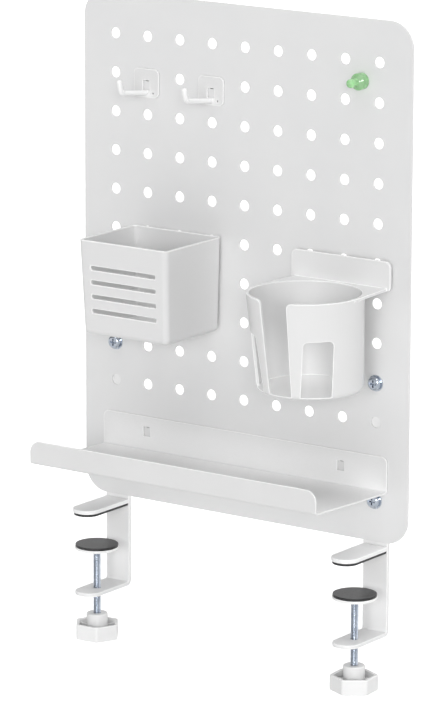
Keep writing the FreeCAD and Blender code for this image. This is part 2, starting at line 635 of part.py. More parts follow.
def make_knob(side, sign):
    """Moulded knob: round hub, hexagonal rim open at the top, six webs and a hex seat below."""
    body = new_body(side + "_knob")
    foot = "(%s - sizes.knob_hub_height)" % KNOB_TOP
    rim = new_sketch(body, side + "_knob_rim_plan", "XY_Plane", foot)
    hexagon(rim, "sizes.knob_flats")
    pad(body, side + "_knob_rim", rim, "sizes.knob_rim_height")
    round_edges(body, side + "_knob_corners", "sizes.knob_corner", lambda middle, run: along(run, 2))
    base = value_of(foot)
    round_edges(body, side + "_knob_foot_edge", "sizes.knob_edge_round",
                lambda middle, run: near(middle.z, base))
    hollow = new_sketch(body, side + "_knob_hollow_plan", "XY_Plane", foot + " + sizes.knob_rim_height")
    hexagon(hollow, "(sizes.knob_flats - 2 * sizes.knob_rim_wall)")
    pocket(body, side + "_knob_hollow", hollow, "sizes.knob_rim_height - sizes.knob_floor")
    hub = new_sketch(body, side + "_knob_hub_plan", "XY_Plane", foot + " + sizes.knob_floor / 2")
    circle(hub, "0", "0", "sizes.knob_hub_diameter / 2")
    pad(body, side + "_knob_hub", hub, "sizes.knob_hub_height - sizes.knob_floor / 2")
    crown = base + value_of("sizes.knob_hub_height")
    round_edges(body, side + "_knob_hub_edge", "sizes.knob_edge_round",
                lambda middle, run: near(middle.z, crown))
    web = new_sketch(body, side + "_knob_web_plan", "XY_Plane", foot + " + sizes.knob_floor / 2")
    half = "(sizes.knob_flats / sqrt(3) - sizes.knob_rim_wall)"
    rectangle(web, "-" + half, half, "-sizes.knob_web / 2", "sizes.knob_web / 2")
    webs = pad(body, side + "_knob_web", web,
               "sizes.knob_rim_height - sizes.knob_web_drop - sizes.knob_floor / 2")
    around = body.newObject("PartDesign::PolarPattern", side + "_knob_webs")
    around.Originals = [webs]
    around.Axis = (web, ["N_Axis"])
    around.Angle = 120
    around.Occurrences = 3
    body.Tip = around
    doc.recompute()
    bore = new_sketch(body, side + "_knob_bore_circle", "XY_Plane", KNOB_TOP)
    circle(bore, "0", "0", "sizes.spindle_diameter / 2")
    pocket(body, side + "_knob_bore", bore)
    seat = new_sketch(body, side + "_knob_seat_hexagon", "XY_Plane", foot)
    hexagon(seat, "sizes.spindle_head_flats")
    pocket(body, side + "_knob_seat", seat, "sizes.spindle_head_height", along_normal=True)
    place(body, "%s * %s" % (sign, CLAMP_X), "-sizes.spindle_setback", DISC_TOP)
    body.setExpression("Placement.Rotation.Angle", "sizes.knob_turn_" + side)
    return body


# ---- what hangs in the holes: y = 0 is the panel's face and z = 0 the centre of the hole row


def rim_height(width):
    """Height at which a flat-bottomed peg of this width rests on its hole's lower edge."""
    return "(-sqrt(sizes.hole_diameter ^ 2 / 4 - (%s) ^ 2 / 4))" % width


def add_tongue(body, name, column, thickness):
    """Sheet tongue bent back through a hole and down behind the panel, with its window."""
    low = rim_height("sizes.tongue_width")
    high = "(%s + %s)" % (low, thickness)
    front = "(-sizes.seat_gap - %s)" % thickness
    behind = "(sizes.panel_thickness + sizes.tongue_gap)"
    back = "(%s + %s)" % (behind, thickness)
    tip = "(%s - sizes.tongue_grip)" % low
    half = "(sizes.tongue_width / 2 + sizes.tongue_window_side)"
    window = new_sketch(body, name + "_window_outline", "XZ_Plane", "-" + front)
    rectangle(window, "(%s) - %s" % (column, half), "(%s) + %s" % (column, half),
              low + " - sizes.tongue_window_height", low)
    pocket(body, name + "_window", window, thickness)
    profile = new_sketch(body, name + "_profile", "YZ_Plane", column)
    outline(profile, [
        (front, low), (behind, low), (behind, tip), (back, tip), (back, high), (front, high),
    ])
    pad(body, name, profile, "sizes.tongue_width", both_ways=True)


def add_peg(body, name, column):
    """Moulded peg through a hole with its tip turned down behind the panel."""
    low = rim_height("sizes.peg_width")
    high = "(%s + sizes.peg_neck_height)" % low
    root = "(-sizes.moulded_gap - sizes.box_wall / 2)"
    behind = "(sizes.panel_thickness + sizes.tongue_gap)"
    back = "(%s + sizes.peg_tip_thickness)" % behind
    tip = "(%s - sizes.peg_grip)" % low
    profile = new_sketch(body, name + "_profile", "YZ_Plane", column)
    outline(profile, [
        (root, low), (behind, low), (behind, tip), (back, tip), (back, high), (root, high),
    ])
    pad(body, name, profile, "sizes.peg_width", both_ways=True)


def hang(body, column, row):
    """Places an accessory at its hole column and row on the panel's face."""
    place(body, "%s * sizes.hole_pitch" % column, "-sizes.panel_thickness", row_height(row))


def make_pen_box():
    """Moulded box with drafted walls, four front slots, two pegs and two standoff ribs."""
    body = new_body("pen_box")
    half = "(sizes.box_width / 2)"
    back = "(-sizes.moulded_gap)"
    front = "(-sizes.moulded_gap - sizes.box_depth)"
    rim = "sizes.box_rise"
    foot = "(sizes.box_rise - sizes.box_height)"
    foot_half = "(%s - sizes.box_side_draft)" % half
    foot_front = "(%s + sizes.box_front_draft)" % front
    mouth = new_sketch(body, "box_mouth", "XY_Plane", rim)
    rectangle(mouth, "-" + half, half, front, back)
    base = new_sketch(body, "box_base", "XY_Plane", foot)
    rectangle(base, "-" + foot_half, foot_half, foot_front, back)
    loft(body, "box_block", "AdditiveLoft", mouth, base)
    top = value_of(rim)
    round_edges(body, "box_corners", "sizes.box_corner", lambda middle, run: not near(middle.z, top))
    hollow_mouth = new_sketch(body, "box_hollow_mouth", "XY_Plane", rim)
    wall = "sizes.box_wall"
    rectangle(hollow_mouth, "-%s + %s" % (half, wall), "%s - %s" % (half, wall),
              "%s + %s" % (front, wall), "%s - %s" % (back, wall))
    hollow_base = new_sketch(body, "box_hollow_base", "XY_Plane", foot + " + sizes.box_floor")
    rectangle(hollow_base, "-%s + %s" % (foot_half, wall), "%s - %s" % (foot_half, wall),
              "%s + %s" % (foot_front, wall), "%s - %s" % (back, wall))
    loft(body, "box_hollow", "SubtractiveLoft", hollow_mouth, hollow_base)
    inner_half = value_of(half + " - sizes.box_wall")
    inner_front = value_of(front + " + sizes.box_wall")
    inner_back = value_of(back + " - sizes.box_wall")
    outer_reach = value_of("sizes.box_side_draft + sizes.box_front_draft")

    def is_inner(middle, run):
        """True for the hollow's edges below the rim."""
        inside = abs(middle.x) < inner_half + 1e-3 and inner_front - 1e-3 < middle.y < inner_back + 1e-3
        corner = abs(middle.x) > inner_half - outer_reach or middle.y < inner_front + outer_reach
        upright = abs(run.z) > value_of("sizes.box_height") / 2
        return inside and upright and corner

    round_edges(body, "box_hollow_corners", "sizes.box_corner - sizes.box_wall", is_inner)
    slot = new_sketch(body, "box_slot_outline", "XZ_Plane", "sizes.moulded_gap + sizes.box_depth / 2")
    middle_height = "(sizes.box_rise - sizes.box_slot_drop)"
    slot_outline(slot, "(sizes.box_slot_length / 2)", middle_height + " - sizes.box_slot_height / 2",
                 middle_height + " + sizes.box_slot_height / 2", "sizes.box_slot_corner")
    first = pocket(body, "box_slot", slot, along_normal=True)
    slots = body.newObject("PartDesign::LinearPattern", "box_slots")
    slots.Originals = [first]
    slots.Direction = (slot, ["V_Axis"])
    slots.Reversed = True
    slots.setExpression("Length", "(sizes.box_slot_count - 1) * sizes.box_slot_pitch")
    slots.setExpression("Occurrences", "sizes.box_slot_count")
    body.Tip = slots
    doc.recompute()
    for side, sign in SIDES:
        column = "%s * sizes.peg_span_columns * sizes.hole_pitch / 2" % sign
        add_peg(body, "box_peg_" + side, column)
        low = "(%s + sizes.standoff_rise)" % foot
        rib = new_sketch(body, "box_standoff_outline_" + side, "XZ_Plane", "sizes.seat_gap")
        rectangle(rib, column + " - sizes.standoff_width / 2", column + " + sizes.standoff_width / 2",
                  low, low + " + sizes.standoff_height")
        pad(body, "box_standoff_" + side, rib, "sizes.moulded_gap - sizes.seat_gap + sizes.box_wall / 2")
    hang(body, "sizes.box_column", "sizes.accessory_row")
    return body


def make_cup_holder():
    """Moulded tapered cup with a front slot and two windows, on a back plate with two pegs."""
    body = new_body("cup_holder")
    plate_front = "(-sizes.moulded_gap - sizes.cup_plate_thickness)"
    rim = "(-sizes.cup_rim_drop)"
    foot = "(-sizes.cup_rim_drop - sizes.cup_height)"
    floor = "(%s + sizes.cup_floor)" % foot
    mouth_centre = "(%s - sizes.cup_mouth / 2 - sizes.cup_plate_gap)" % plate_front
    foot_centre = "(%s + sizes.cup_foot_shift)" % mouth_centre
    mouth_radius = "(sizes.cup_mouth / 2)"
    lean = "(sizes.cup_foot_shift / sizes.cup_height)"
    slope = "(%s + (sizes.cup_mouth - sizes.cup_foot) / 2 / sizes.cup_height)" % lean
    cone = new_sketch(body, "cup_cone_profile", "YZ_Plane")
    outline(cone, [
        ("%s - %s * sizes.cup_trim" % (mouth_centre, lean), rim + " + sizes.cup_trim"),
        ("%s - %s - %s * sizes.cup_trim" % (mouth_centre, mouth_radius, slope), rim + " + sizes.cup_trim"),
        ("%s - sizes.cup_foot / 2 + %s * sizes.cup_trim" % (foot_centre, slope), foot + " - sizes.cup_trim"),
        ("%s + %s * sizes.cup_trim" % (foot_centre, lean), foot + " - sizes.cup_trim"),
    ])
    block = body.newObject("PartDesign::Revolution", "cup_block")
    block.Profile = cone
    block.ReferenceAxis = (cone, ["Edge4"])
    block.Angle = 360
    doc.recompute()
    for name, level, upwards in (("rim", rim, True), ("foot", foot, False)):
        trim = new_sketch(body, "cup_%s_trim_plan" % name, "XY_Plane", level)
        rectangle(trim, "-sizes.cup_mouth", "sizes.cup_mouth", "-2 * sizes.cup_mouth", "sizes.cup_mouth")
        pocket(body, "cup_%s_trim" % name, trim, "3 * sizes.cup_trim", along_normal=upwards)
    base = value_of(foot)
    round_edges(body, "cup_foot_edge", "sizes.cup_foot_round", lambda middle, run: near(middle.z, base))
    web = new_sketch(body, "cup_web_plan", "XY_Plane", rim)
    root = "(%s - sizes.cup_web_inset)" % mouth_radius
    plate_middle = "(-sizes.moulded_gap - sizes.cup_plate_thickness / 2)"
    outline(web, [
        ("-" + mouth_radius, mouth_centre), (mouth_radius, mouth_centre),
        (root, plate_middle), ("-" + root, plate_middle),
    ])
    pad(body, "cup_web", web, "sizes.cup_web_thickness", backwards=True)
    plate = new_sketch(body, "cup_plate_outline", "XZ_Plane", "sizes.moulded_gap")
    plate_foot = "(%s - sizes.cup_web_thickness)" % rim
    rectangle(plate, "-" + mouth_radius, mouth_radius, plate_foot, "sizes.cup_plate_rise")
    pad(body, "cup_plate", plate, "sizes.cup_plate_thickness")
    half = value_of(mouth_radius)
    plate_top = value_of("sizes.cup_plate_rise")
    plate_low = value_of(plate_foot)
    round_edges(body, "cup_plate_top_corners", "sizes.cup_plate_corner",
                lambda middle, run: along(run, 1) and near(abs(middle.x), half) and near(middle.z, plate_top))
    round_edges(body, "cup_plate_low_corners", "sizes.cup_web_inset - sizes.seat_gap",
                lambda middle, run: along(run, 1) and near(abs(middle.x), half) and near(middle.z, plate_low))
    hollow_mouth = new_sketch(body, "cup_hollow_mouth_circle", "XY_Plane", rim)
    circle(hollow_mouth, "0", mouth_centre, mouth_radius + " - sizes.cup_wall")
    hollow_foot = new_sketch(body, "cup_hollow_foot_circle", "XY_Plane", floor)
    circle(hollow_foot, "0", foot_centre, "sizes.cup_foot / 2 - sizes.cup_wall")
    loft(body, "cup_hollow", "SubtractiveLoft", hollow_mouth, hollow_foot)
    for side, sign in SIDES:
        window = new_sketch(body, "cup_window_outline_" + side, "XZ_Plane", "-" + mouth_centre)
        turn = Rotation(Vector(0, 1, 0), value_of("sizes.cup_window_angle"))
        window.AttachmentOffset = Placement(Vector(0, 0, 0), turn)
        window.setExpression("AttachmentOffset.Rotation.Angle", "%s * sizes.cup_window_angle" % sign)
        wide = "(sizes.cup_window_width / 2)"
        inner = "(%s - sizes.cup_window_corner)" % wide
        above = "(%s - sizes.cup_window_drop)" % rim
        shoulder = "(%s - sizes.cup_window_corner)" % above
        outline(window, [
            ("-" + wide, floor), (wide, floor), (wide, shoulder, inner, shoulder, 1),
            (inner, above), ("-" + inner, above, "-" + inner, shoulder, 1), ("-" + wide, shoulder),
        ])
        pocket(body, "cup_window_" + side, window, along_normal=True)
    slot = new_sketch(body, "cup_slot_outline", "XZ_Plane", "-" + mouth_centre)
    top_half = "(sizes.cup_slot_top / 2)"
    flare = "(%s + sizes.cup_slot_round)" % top_half
    under_rim = "(%s - sizes.cup_slot_round)" % rim
    over_rim = "(%s + sizes.cup_slot_round)" % rim
    outline(slot, [
        ("-sizes.cup_slot_foot / 2", floor), ("sizes.cup_slot_foot / 2", floor),
        (top_half, under_rim, flare, under_rim, -1), (flare, rim), (flare, over_rim),
        ("-" + flare, over_rim), ("-" + flare, rim, "-" + flare, under_rim, -1), ("-" + top_half, under_rim),
    ])
    pocket(body, "cup_slot", slot, along_normal=True)
    for side, sign in SIDES:
        add_peg(body, "cup_peg_" + side, "%s * sizes.peg_span_columns * sizes.hole_pitch / 2" % sign)
    spine = new_sketch(body, "cup_spine_profile", "YZ_Plane")
    rim_back = "(%s + %s - sizes.cup_wall / 2)" % (mouth_centre, mouth_radius)
    foot_back = "(%s + sizes.cup_foot / 2 - sizes.cup_wall / 2)" % foot_centre
    spine_foot = "(%s + sizes.cup_foot_round)" % foot
    outline(spine, [
        ("-sizes.seat_gap", spine_foot), ("-sizes.seat_gap", plate_foot + " + sizes.cup_web_thickness / 2"),
        (rim_back, plate_foot + " + sizes.cup_web_thickness / 2"), (foot_back, spine_foot),
    ])
    pad(body, "cup_spine", spine, "sizes.cup_spine_width", both_ways=True)
    hang(body, "sizes.cup_column", "sizes.accessory_row")
    return body


def make_tray():
    """Bent sheet tray: back, floor that climbs a little, and a front lip, on two tongues."""
    body = new_body("tray")
    sheet = "sizes.tray_thickness"
    back = "(-sizes.seat_gap)"
    inside_back = "(-sizes.seat_gap - %s)" % sheet
    front = "(-sizes.tray_depth)"
    inside_front = "(-sizes.tray_depth + %s)" % sheet
    under_back = "(-sizes.tray_drop)"
    under_front = "(-sizes.tray_drop + sizes.tray_floor_lift)"
    lip_top = "(%s + sizes.tray_lip)" % under_front
    profile = new_sketch(body, "tray_profile", "YZ_Plane")
    outline(profile, [
        (back, "sizes.tray_rise"), (inside_back, "sizes.tray_rise"), (inside_back, under_back + " + " + sheet),
        (inside_front, under_front + " + " + sheet), (inside_front, lip_top), (front, lip_top),
        (front, under_front), (back, under_back),
    ])
    pad(body, "tray_sheet", profile, "sizes.tray_width", both_ways=True)
    hollow = (value_of(under_back + " + " + sheet), value_of(under_front + " + " + sheet))
    outside = (value_of(under_back), value_of(under_front))
    round_edges(body, "tray_inner_bends", "sizes.tray_bend_inner",
                lambda middle, run: along(run, 0) and any(near(middle.z, level) for level in hollow))
    round_edges(body, "tray_outer_bends", "sizes.tray_bend_inner + " + sheet,
                lambda middle, run: along(run, 0) and any(near(middle.z, level) for level in outside))
    top = value_of("sizes.tray_rise")
    lip = value_of(lip_top)
    deep = value_of(inside_back)
    round_edges(body, "tray_back_corners", "sizes.tray_back_corner",
                lambda middle, run: along(run, 1) and near(middle.z, top) and middle.y > deep)
    round_edges(body, "tray_lip_corners", "sizes.tray_lip_corner",
                lambda middle, run: along(run, 1) and near(middle.z, lip) and middle.y < deep)
    for side, sign in SIDES:
        column = "%s * sizes.tray_tongue_columns * sizes.hole_pitch / 2" % sign
        add_tongue(body, "tray_tongue_" + side, column, sheet)
    place(body, "0", "-sizes.panel_thickness", row_height("sizes.tray_row"))
    return body


def make_hook_plate(side):
    """Small sheet plate with its tongue and the paint line's hanging hole."""
    body = new_body(side + "_hook_plate")
    sheet = "sizes.hook_plate_thickness"
    outline_sketch = new_sketch(body, side + "_hook_plate_outline", "XZ_Plane", "sizes.seat_gap")
    rectangle(outline_sketch, "-sizes.hook_plate_width / 2", "sizes.hook_plate_width / 2",
              "-sizes.hook_plate_drop", "sizes.hook_plate_rise")
    pad(body, side + "_hook_plate_sheet", outline_sketch, sheet)
    round_edges(body, side + "_hook_plate_corners", "sizes.hook_plate_corner",
                lambda middle, run: along(run, 1))
    dot = new_sketch(body, side + "_hook_dot_circle", "XZ_Plane", "sizes.seat_gap + " + sheet)
    circle(dot, "sizes.hook_dot_side", "-sizes.hook_rod_drop", "sizes.hook_dot_diameter / 2")
    pocket(body, side + "_hook_dot", dot, sheet)
    add_tongue(body, side + "_hook_tongue", "0", sheet)
    hang(body, "sizes.hook_%s_column" % side, "sizes.hook_row")
    return body


def make_hook_rod(side):
    """Round rod welded to the plate, out and then up to a rounded tip."""
    body = new_body(side + "_hook_rod")
    root_back = "(-sizes.seat_gap - sizes.hook_plate_thickness)"
    elbow_back = "(%s - sizes.hook_rod_reach)" % root_back
    section = new_sketch(body, side + "_rod_section", "XZ_Plane", "-" + root_back)
    circle(section, "0", "-sizes.hook_rod_drop", "sizes.hook_rod_diameter / 2")
    root = Vector(value_of(root_back), -value_of("sizes.hook_rod_drop"), 0)
    elbow = root + Vector(-value_of("sizes.hook_rod_reach"), value_of("sizes.hook_rod_climb"), 0)
    tip = elbow + Vector(-value_of("sizes.hook_tip_reach"), value_of("sizes.hook_tip_rise"), 0)
    out = (elbow - root).normalize()
    rise = (tip - elbow).normalize()
    setback = value_of("sizes.hook_elbow_radius") * (1 - out.dot(rise)) / out.cross(rise).Length
    bend_start = elbow - out * setback
    bend_end = elbow + rise * setback
    centre = bend_start + Vector(out.y, -out.x, 0) * value_of("sizes.hook_elbow_radius")
    bend = Part.Circle(centre, Vector(0, 0, 1), value_of("sizes.hook_elbow_radius"))
    path = new_sketch(body, side + "_rod_path", "YZ_Plane")
    path.addGeometry(Part.LineSegment(root, bend_start))
    path.addGeometry(Part.ArcOfCircle(bend, bend.parameter(bend_end), bend.parameter(bend_start)))
    path.addGeometry(Part.LineSegment(bend_end, tip))
    path.addConstraint(Sketcher.Constraint("Tangent", 0, 2, 1, 2))
    path.addConstraint(Sketcher.Constraint("Tangent", 1, 1, 2, 1))
    pin_point(path, 0, 1, root_back, "-sizes.hook_rod_drop")
    corner = path.addGeometry(Part.Point(elbow), True)
    pin_point(path, corner, 1, elbow_back, "-sizes.hook_rod_drop + sizes.hook_rod_climb")
    path.addConstraint(Sketcher.Constraint("PointOnObject", corner, 1, 0))
    path.addConstraint(Sketcher.Constraint("PointOnObject", corner, 1, 2))
    pin_point(path, 2, 2, "%s - sizes.hook_tip_reach" % elbow_back,
              "-sizes.hook_rod_drop + sizes.hook_rod_climb + sizes.hook_tip_rise")
    index = path.addConstraint(Sketcher.Constraint("Radius", 1, value_of("sizes.hook_elbow_radius")))
    path.setExpression("Constraints[%d]" % index, "sizes.hook_elbow_radius")
    doc.recompute()
    rod = body.newObject("PartDesign::AdditivePipe", side + "_rod")
    rod.Profile = section
    rod.Spine = path
    doc.recompute()
    end = Vector(0, tip.x, tip.y)
    reach = value_of("sizes.hook_rod_diameter")
    round_edges(body, side + "_rod_tip", "sizes.hook_tip_round",
                lambda middle_point, run: middle_point.distanceToPoint(end) < reach and run.Length < 1e-3)
    hang(body, "sizes.hook_%s_column" % side, "sizes.hook_row")
    return body


def make_pin_cap():
    """Moulded grip of the magnetic pin, turned about Y, hollow for its magnet."""
    body = new_body("pin_cap")
    back = "(-sizes.seat_gap)"
    well = "(-sizes.seat_gap - sizes.magnet_thickness)"
    base = "(-sizes.pin_base_height)"
    profile = new_sketch(body, "pin_profile", "XY_Plane")
    outline(profile, [
        ("sizes.magnet_diameter / 2", back), ("sizes.pin_base_diameter / 2", back),
        ("sizes.pin_base_diameter / 2", base), ("sizes.pin_waist_diameter / 2", "-sizes.pin_waist_height"),
        ("sizes.pin_grip_diameter / 2", "-sizes.pin_length + sizes.pin_grip_round"),
        ("sizes.pin_grip_diameter / 2", "-sizes.pin_length"), ("0", "-sizes.pin_length"),
        ("0", well), ("sizes.magnet_diameter / 2", well),
    ])
    revolution(body, "pin_turned", profile)
    shoulder = value_of(base)
    end = -value_of("sizes.pin_length")
    round_edges(body, "pin_base_edge", "sizes.pin_base_round", lambda middle, run: near(middle.y, shoulder))
    round_edges(body, "pin_grip_end", "sizes.pin_grip_round", lambda middle, run: near(middle.y, end))
    place(body, "sizes.pin_side", "-sizes.panel_thickness", row_height("sizes.pin_row_offset"))
    return body


def make_pin_magnet():
    """Disc magnet in the pin's base."""
    body = new_body("pin_magnet")
    face = new_sketch(body, "magnet_circle", "XZ_Plane", "sizes.seat_gap")
    circle(face, "0", "0", "sizes.magnet_diameter / 2")
    pad(body, "magnet_disc", face, "sizes.magnet_thickness")
    place(body, "sizes.pin_side", "-sizes.panel_thickness", row_height("sizes.pin_row_offset"))
    return body


# ---- the whole organizer

nodes = [make_panel()]
for side_name, side_sign in SIDES:
    nodes.append(make_clamp_frame(side_name, side_sign))
    nodes.append(make_upper_jaw(side_name, side_sign))
    nodes.append(make_jaw_pad(side_name, side_sign))
    nodes.append(make_pressure_disc(side_name, side_sign))
    nodes.append(make_disc_pad(side_name, side_sign))
    nodes.append(make_clamp_screw(side_name, side_sign))
    nodes.append(make_knob(side_name, side_sign))
    nodes.append(make_hook_plate(side_name))
    nodes.append(make_hook_rod(side_name))
nodes.append(make_group("panel_screws", make_bolt))
nodes.append(make_group("panel_washers", make_washer))
nodes.append(make_group("panel_nuts", make_nut))
nodes.append(make_pen_box())
nodes.append(make_cup_holder())
nodes.append(make_tray())
nodes.append(make_pin_cap())
nodes.append(make_pin_magnet())
doc.recompute()

for item in doc.Objects:
    if "Invalid" in item.State or "Error" in item.State:
        raise RuntimeError("%s did not build: %s" % (item.Name, item.State))
for node in nodes:
    if node.Shape.isNull() or not node.Shape.isValid():
        raise RuntimeError(node.Label + " has no valid shape")

os.makedirs("parts", exist_ok=True)
for node in nodes:
    node.Shape.exportStep("parts/%s.step" % node.Label)
    print("%-22s %2d solid(s) %10.1f mm3" % (node.Label, len(node.Shape.Solids), node.Shape.Volume))
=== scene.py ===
"""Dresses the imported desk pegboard: finishes, threads, softened edges, floor, light and camera.

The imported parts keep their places. Each sub-assembly is a class that holds its own sizes, replaces the parts
whose edges or threads need detail, and gives the others a finish.
"""
import logging
import math
from dataclasses import dataclass
from enum import Enum
from typing import Any, Optional, Sequence

import bmesh
import bpy
from mathutils import Matrix, Vector


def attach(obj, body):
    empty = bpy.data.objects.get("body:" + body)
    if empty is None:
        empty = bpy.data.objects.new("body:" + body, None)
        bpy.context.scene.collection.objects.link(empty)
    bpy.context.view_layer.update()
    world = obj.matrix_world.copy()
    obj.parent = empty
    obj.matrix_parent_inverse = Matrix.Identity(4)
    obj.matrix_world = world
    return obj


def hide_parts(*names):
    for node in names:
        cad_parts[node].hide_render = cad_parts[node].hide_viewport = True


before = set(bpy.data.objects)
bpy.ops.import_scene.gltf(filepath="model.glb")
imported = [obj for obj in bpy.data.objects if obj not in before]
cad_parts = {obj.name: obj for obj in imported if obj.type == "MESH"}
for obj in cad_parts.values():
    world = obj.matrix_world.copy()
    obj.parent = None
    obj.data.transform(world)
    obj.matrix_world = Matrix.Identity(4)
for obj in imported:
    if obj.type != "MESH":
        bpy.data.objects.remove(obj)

log = logging.getLogger("organizer")
MM = 0.001
WELD = 1e-6
FLAT_ANGLE = math.radians(0.3)
NORMAL_WEIGHT = 80
WHITE = (1.0, 1.0, 1.0, 1.0)
Colour = tuple[float, float, float, float]
Socket = bpy.types.NodeSocket


class Slot(Enum):
    """The record's material slots."""

    POWDER_COAT = "powder_coat"
    MOULDED_WHITE = "moulded_white"
    BLACK_RUBBER = "black_rubber"
    ZINC_STEEL = "zinc_steel"
    GREEN_PLASTIC = "green_plastic"
    NICKEL_MAGNET = "nickel_magnet"


class Finish(Enum):
    """Every surface finish, with the record's slot that it belongs to."""

    PANEL_COAT = ("panel_coat", Slot.POWDER_COAT)
    SHEET_COAT = ("sheet_coat", Slot.POWDER_COAT)
    FRAME_COAT = ("frame_coat", Slot.POWDER_COAT)
    # A lighter copy of the powder coat: painted light on the jaws, discs and hook rods.
    BRIGHT_COAT = ("bright_coat", Slot.POWDER_COAT)
    MOULDED_WHITE = ("moulded_white", Slot.MOULDED_WHITE)
    CUP_WHITE = ("cup_white", Slot.MOULDED_WHITE)
    KNOB_WHITE = ("knob_white", Slot.MOULDED_WHITE)
    BLACK_RUBBER = ("black_rubber", Slot.BLACK_RUBBER)
    ZINC_STEEL = ("zinc_steel", Slot.ZINC_STEEL)
    GREEN_PLASTIC = ("green_plastic", Slot.GREEN_PLASTIC)
    NICKEL_MAGNET = ("nickel_magnet", Slot.NICKEL_MAGNET)

    @property
    def slot(self) -> Slot:
        """The record's slot."""
        return self.value[1]


class Side(Enum):
    """Which of a pair: its sign along X."""

    LEFT = -1
    RIGHT = 1

    @property
    def word(self) -> str:
        """The side's word in node and body names."""
        return self.name.lower()


# ---- finishes


def grey(level: float) -> Colour:
    """A neutral colour."""
    return (level, level, level, 1.0)


class ShaderSheet:
    """One material's node tree, with short calls to add nodes and join their sockets.

    EDGE_TURN is the cosine between the rounded and the flat normal, and the two others are shares of open
    sky: each gives where a factor starts and where it is full.
    """

    EDGE_TURN = (0.996, 0.955)
    PAINTED_GAP_SHADE_SKY = (0.38, 0.10)
    PAINTED_FILL_SKY = (0.92, 0.50)

    def __init__(self, name: str) -> None:
        """Starts an empty material.

        Args:
            name: The material's name.
        """
        self.material = bpy.data.materials.new(name)
        self.material.use_nodes = True
        self.nodes = self.material.node_tree.nodes
        self.links = self.material.node_tree.links
        self.nodes.clear()
        output = self.add("ShaderNodeOutputMaterial")
        self.surface = self.add("ShaderNodeBsdfPrincipled")
        self.join(self.surface.outputs["BSDF"], output.inputs["Surface"])
        self.place = self.add("ShaderNodeTexCoord").outputs["Object"]

    def add(self, kind: str, values: Optional[dict[str, Any]] = None, **settings: Any) -> bpy.types.Node:
        """Adds a node.

        Args:
            kind: The node's type name.
            values: Default values of its inputs, by socket name.
            settings: The node's own properties.

        Returns:
            The new node.
        """
        node = self.nodes.new(kind)
        for key, value in settings.items():
            setattr(node, key, value)
        for key, value in (values or {}).items():
            node.inputs[key].default_value = value
        return node

    def join(self, source: Socket, target: Socket) -> None:
        """Links an output to an input."""
        self.links.new(source, target)

    def dress(self, values: dict[str, Any]) -> None:
        """Sets or links inputs of the surface shader.

        Args:
            values: A number, a colour or another node's output, by socket name.
        """
        for key, value in values.items():
            if isinstance(value, Socket):
                self.join(value, self.surface.inputs[key])
            else:
                self.surface.inputs[key].default_value = value

    def noise(self, scale: float, detail: float = 2.0, roughness: float = 0.5) -> Socket:
        """Adds fractal noise on the object's own coordinates.

        Args:
            scale: Cells per metre.
            detail: Octaves.
            roughness: Weight of the finer octaves.

        Returns:
            The noise factor.
        """
        node = self.add("ShaderNodeTexNoise", {"Scale": scale, "Detail": detail, "Roughness": roughness})
        self.join(self.place, node.inputs["Vector"])
        return node.outputs["Fac"]

    def ramp(self, source: Socket, start: float, end: float) -> Socket:
        """Maps a value onto 0 to 1.

        Args:
            source: The value.
            start: Where the result is 0.
            end: Where the result is 1.

        Returns:
            The mapped value, kept between 0 and 1.
        """
        ends = {"From Min": start, "From Max": end, "To Min": 0.0, "To Max": 1.0}
        node = self.add("ShaderNodeMapRange", ends)
        self.join(source, node.inputs["Value"])
        return node.outputs["Result"]

    def spread(self, source: Socket, low: float, high: float) -> Socket:
        """Maps a factor's middle half onto a range of values.

        Args:
            source: The factor.
            low: Value at 0.25 and below.
            high: Value at 0.75 and above.

        Returns:
            The mapped value.
        """
        ends = {"From Min": 0.25, "From Max": 0.75, "To Min": low, "To Max": high}
        node = self.add("ShaderNodeMapRange", ends, interpolation_type="SMOOTHSTEP")
        self.join(source, node.inputs["Value"])
        return node.outputs["Result"]

    def blend(self, factor: Socket, first: Colour, second: Colour) -> Socket:
        """Mixes two colours by a factor.

        Args:
            factor: 0 gives the first colour and 1 the second.
            first: The first colour.
            second: The second colour.

        Returns:
            The mixed colour.
        """
        node = self.add("ShaderNodeMix", data_type="RGBA")
        colours = [socket for socket in node.inputs if socket.type == "RGBA"]
        colours[0].default_value, colours[1].default_value = first, second
        self.join(factor, node.inputs["Factor"])
        return next(socket for socket in node.outputs if socket.type == "RGBA")

    def edge_highlight_factor(self, reach: float, samples: int = 4) -> Socket:
        """Finds the sharp edges, where a painted highlight lightens the colour.

        Args:
            reach: Metres from an edge to where its effect ends.
            samples: Rays per shading point.

        Returns:
            1 on a sharp edge, 0 away from one.
        """
        rounded = self.add("ShaderNodeBevel", {"Radius": reach}, samples=samples)
        flat = self.add("ShaderNodeNewGeometry").outputs["Normal"]
        turn = self.add("ShaderNodeVectorMath", operation="DOT_PRODUCT")
        self.join(rounded.outputs["Normal"], turn.inputs[0])
        self.join(flat, turn.inputs[1])
        return self.ramp(turn.outputs["Value"], *self.EDGE_TURN)

    def openness(self, reach: float, samples: int) -> Socket:
        """Finds how much of the sky a point sees past the surfaces within reach: 1 in the open."""
        return self.add("ShaderNodeAmbientOcclusion", {"Distance": reach}, samples=samples).outputs["AO"]

    def painted_gap_shade_factor(self, reach: float, samples: int = 6) -> Socket:
        """Finds the narrow gaps and punched corners, where painted shade darkens the colour.

        Args:
            reach: Metres within which another surface closes a point in.
            samples: Rays per shading point.

        Returns:
            1 deep in a gap, 0 in the open and in a plain corner.
        """
        return self.ramp(self.openness(reach, samples), *self.PAINTED_GAP_SHADE_SKY)

    def painted_fill_factor(self, reach: float, samples: int = 6) -> Socket:
        """Finds the points that nearby surfaces shade, whose colour painted light lightens to cancel that
        shade.

        Args:
            reach: Metres within which another surface shelters a point.
            samples: Rays per shading point.

        Returns:
            0 in the open, 1 where half the sky and more is shut out.
        """
        return self.ramp(self.openness(reach, samples), *self.PAINTED_FILL_SKY)

